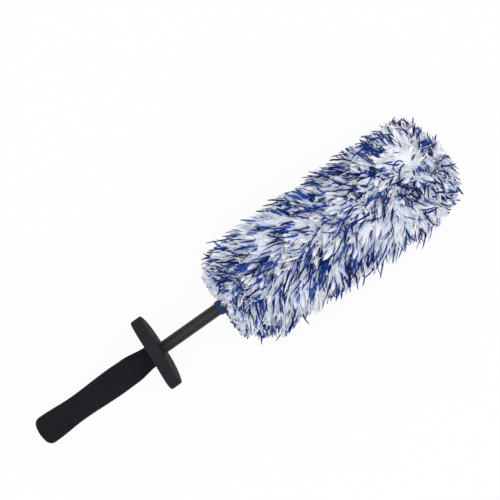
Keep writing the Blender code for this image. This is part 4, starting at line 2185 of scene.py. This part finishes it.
@dataclass
class Studio:
    """Pale floor, soft light and a camera straight above the lying brush."""

    roll: float = 35.3
    middle: Point = (0.0287, 0.0271)
    lens: float = 85.0
    sensor: float = 36.0
    view_width: float = 0.4578
    view_end: float = 20.0
    floor_size: float = 6.0
    floor_white: float = 0.92
    floor_grey: float = 0.86
    floor_rough: float = 0.9
    sky: float = 0.87
    sky_tint: Colour = (0.92, 0.96, 1.04)
    key_power: float = 7.8
    key_size: float = 1.3
    key_height: float = 1.5
    key_side: Point = (0.02, -0.12)

    def camera(self) -> None:
        """Sets the camera so that the brush runs up to the right as in the photograph."""
        data = bpy.data.cameras.new("studio_camera")
        data.lens = self.lens
        data.sensor_width = self.sensor
        data.clip_end = self.view_end
        eye = bpy.data.objects.new("studio_camera", data)
        bpy.context.scene.collection.objects.link(eye)
        distance = self.view_width * self.lens / self.sensor
        eye.location = (*self.middle, AXIS_HEIGHT + distance)
        eye.rotation_euler = (0.0, 0.0, -math.radians(self.roll))
        bpy.context.scene.camera = eye

    def floor(self) -> None:
        """Lays a floor that stays near white and keeps the soft shadow."""
        Bench.put_down()
        bpy.ops.mesh.primitive_grid_add(x_subdivisions=2, y_subdivisions=2, size=self.floor_size)
        plane = bpy.context.active_object
        plane.name = "studio_floor"
        board = NodeBoard("studio_floor")
        grey = (self.floor_grey, self.floor_grey, self.floor_grey, 1.0)
        board.set(Base_Color=grey, Roughness=self.floor_rough, Specular_IOR_Level=0.0)
        glow = board.made("ShaderNodeEmission", "Emission", Color=(1.0, 1.0, 1.0, 1.0))
        path = board.add("ShaderNodeLightPath")
        seen = board.math("MAXIMUM", path.outputs["Is Camera Ray"], path.outputs["Is Glossy Ray"])
        seen = board.math("MAXIMUM", seen, path.outputs["Is Transmission Ray"])
        mixed = board.add("ShaderNodeMixShader")
        parts = (board.math("MULTIPLY", seen, self.floor_white), board.shader.outputs["BSDF"], glow)
        for part, slot in zip(parts, mixed.inputs):
            board.link(part, slot)
        board.link(mixed.outputs["Shader"], board.tree.nodes["Material Output"].inputs["Surface"])
        plane.data.materials.append(board.material)

    def lights(self) -> None:
        """Sets an even sky, which gives most of the light, and one large soft lamp almost overhead."""
        world = bpy.data.worlds.new("studio_sky")
        world.use_nodes = True
        sky = world.node_tree.nodes["Background"]
        sky.inputs["Color"].default_value = (*self.sky_tint, 1.0)
        sky.inputs["Strength"].default_value = self.sky
        bpy.context.scene.world = world
        data = bpy.data.lights.new("studio_key", "AREA")
        data.energy = self.key_power
        data.size = self.key_size
        lamp = bpy.data.objects.new("studio_key", data)
        bpy.context.scene.collection.objects.link(lamp)
        along, across = self.key_side
        lamp.location = (self.middle[0] + along, self.middle[1] + across, self.key_height)
        tilt = math.atan2(math.hypot(along, across), self.key_height)
        lamp.rotation_euler = (tilt, 0.0, math.atan2(across, along) + math.pi / 2.0)

    def build(self) -> None:
        """Builds the studio."""
        self.camera()
        self.floor()
        self.lights()
        bpy.context.scene.view_settings.view_transform = "Standard"


def main() -> None:
    """Builds the studio and the sub-assemblies in order."""
    logging.basicConfig(level=logging.INFO, format="%(name)s %(message)s", stream=sys.stdout)
    Studio().build()
    Grip().build()
    Guard().build()
    Shaft().build()
    Core().build()
    Cuff().build()
    Seam("end_seam_stitches", "end_seam_thread", END_SEAM).build()
    Seam("base_seam_stitches", "base_seam_thread", BASE_SEAM).build()
    PileHead().build()


if __name__ == "__main__":
    main()
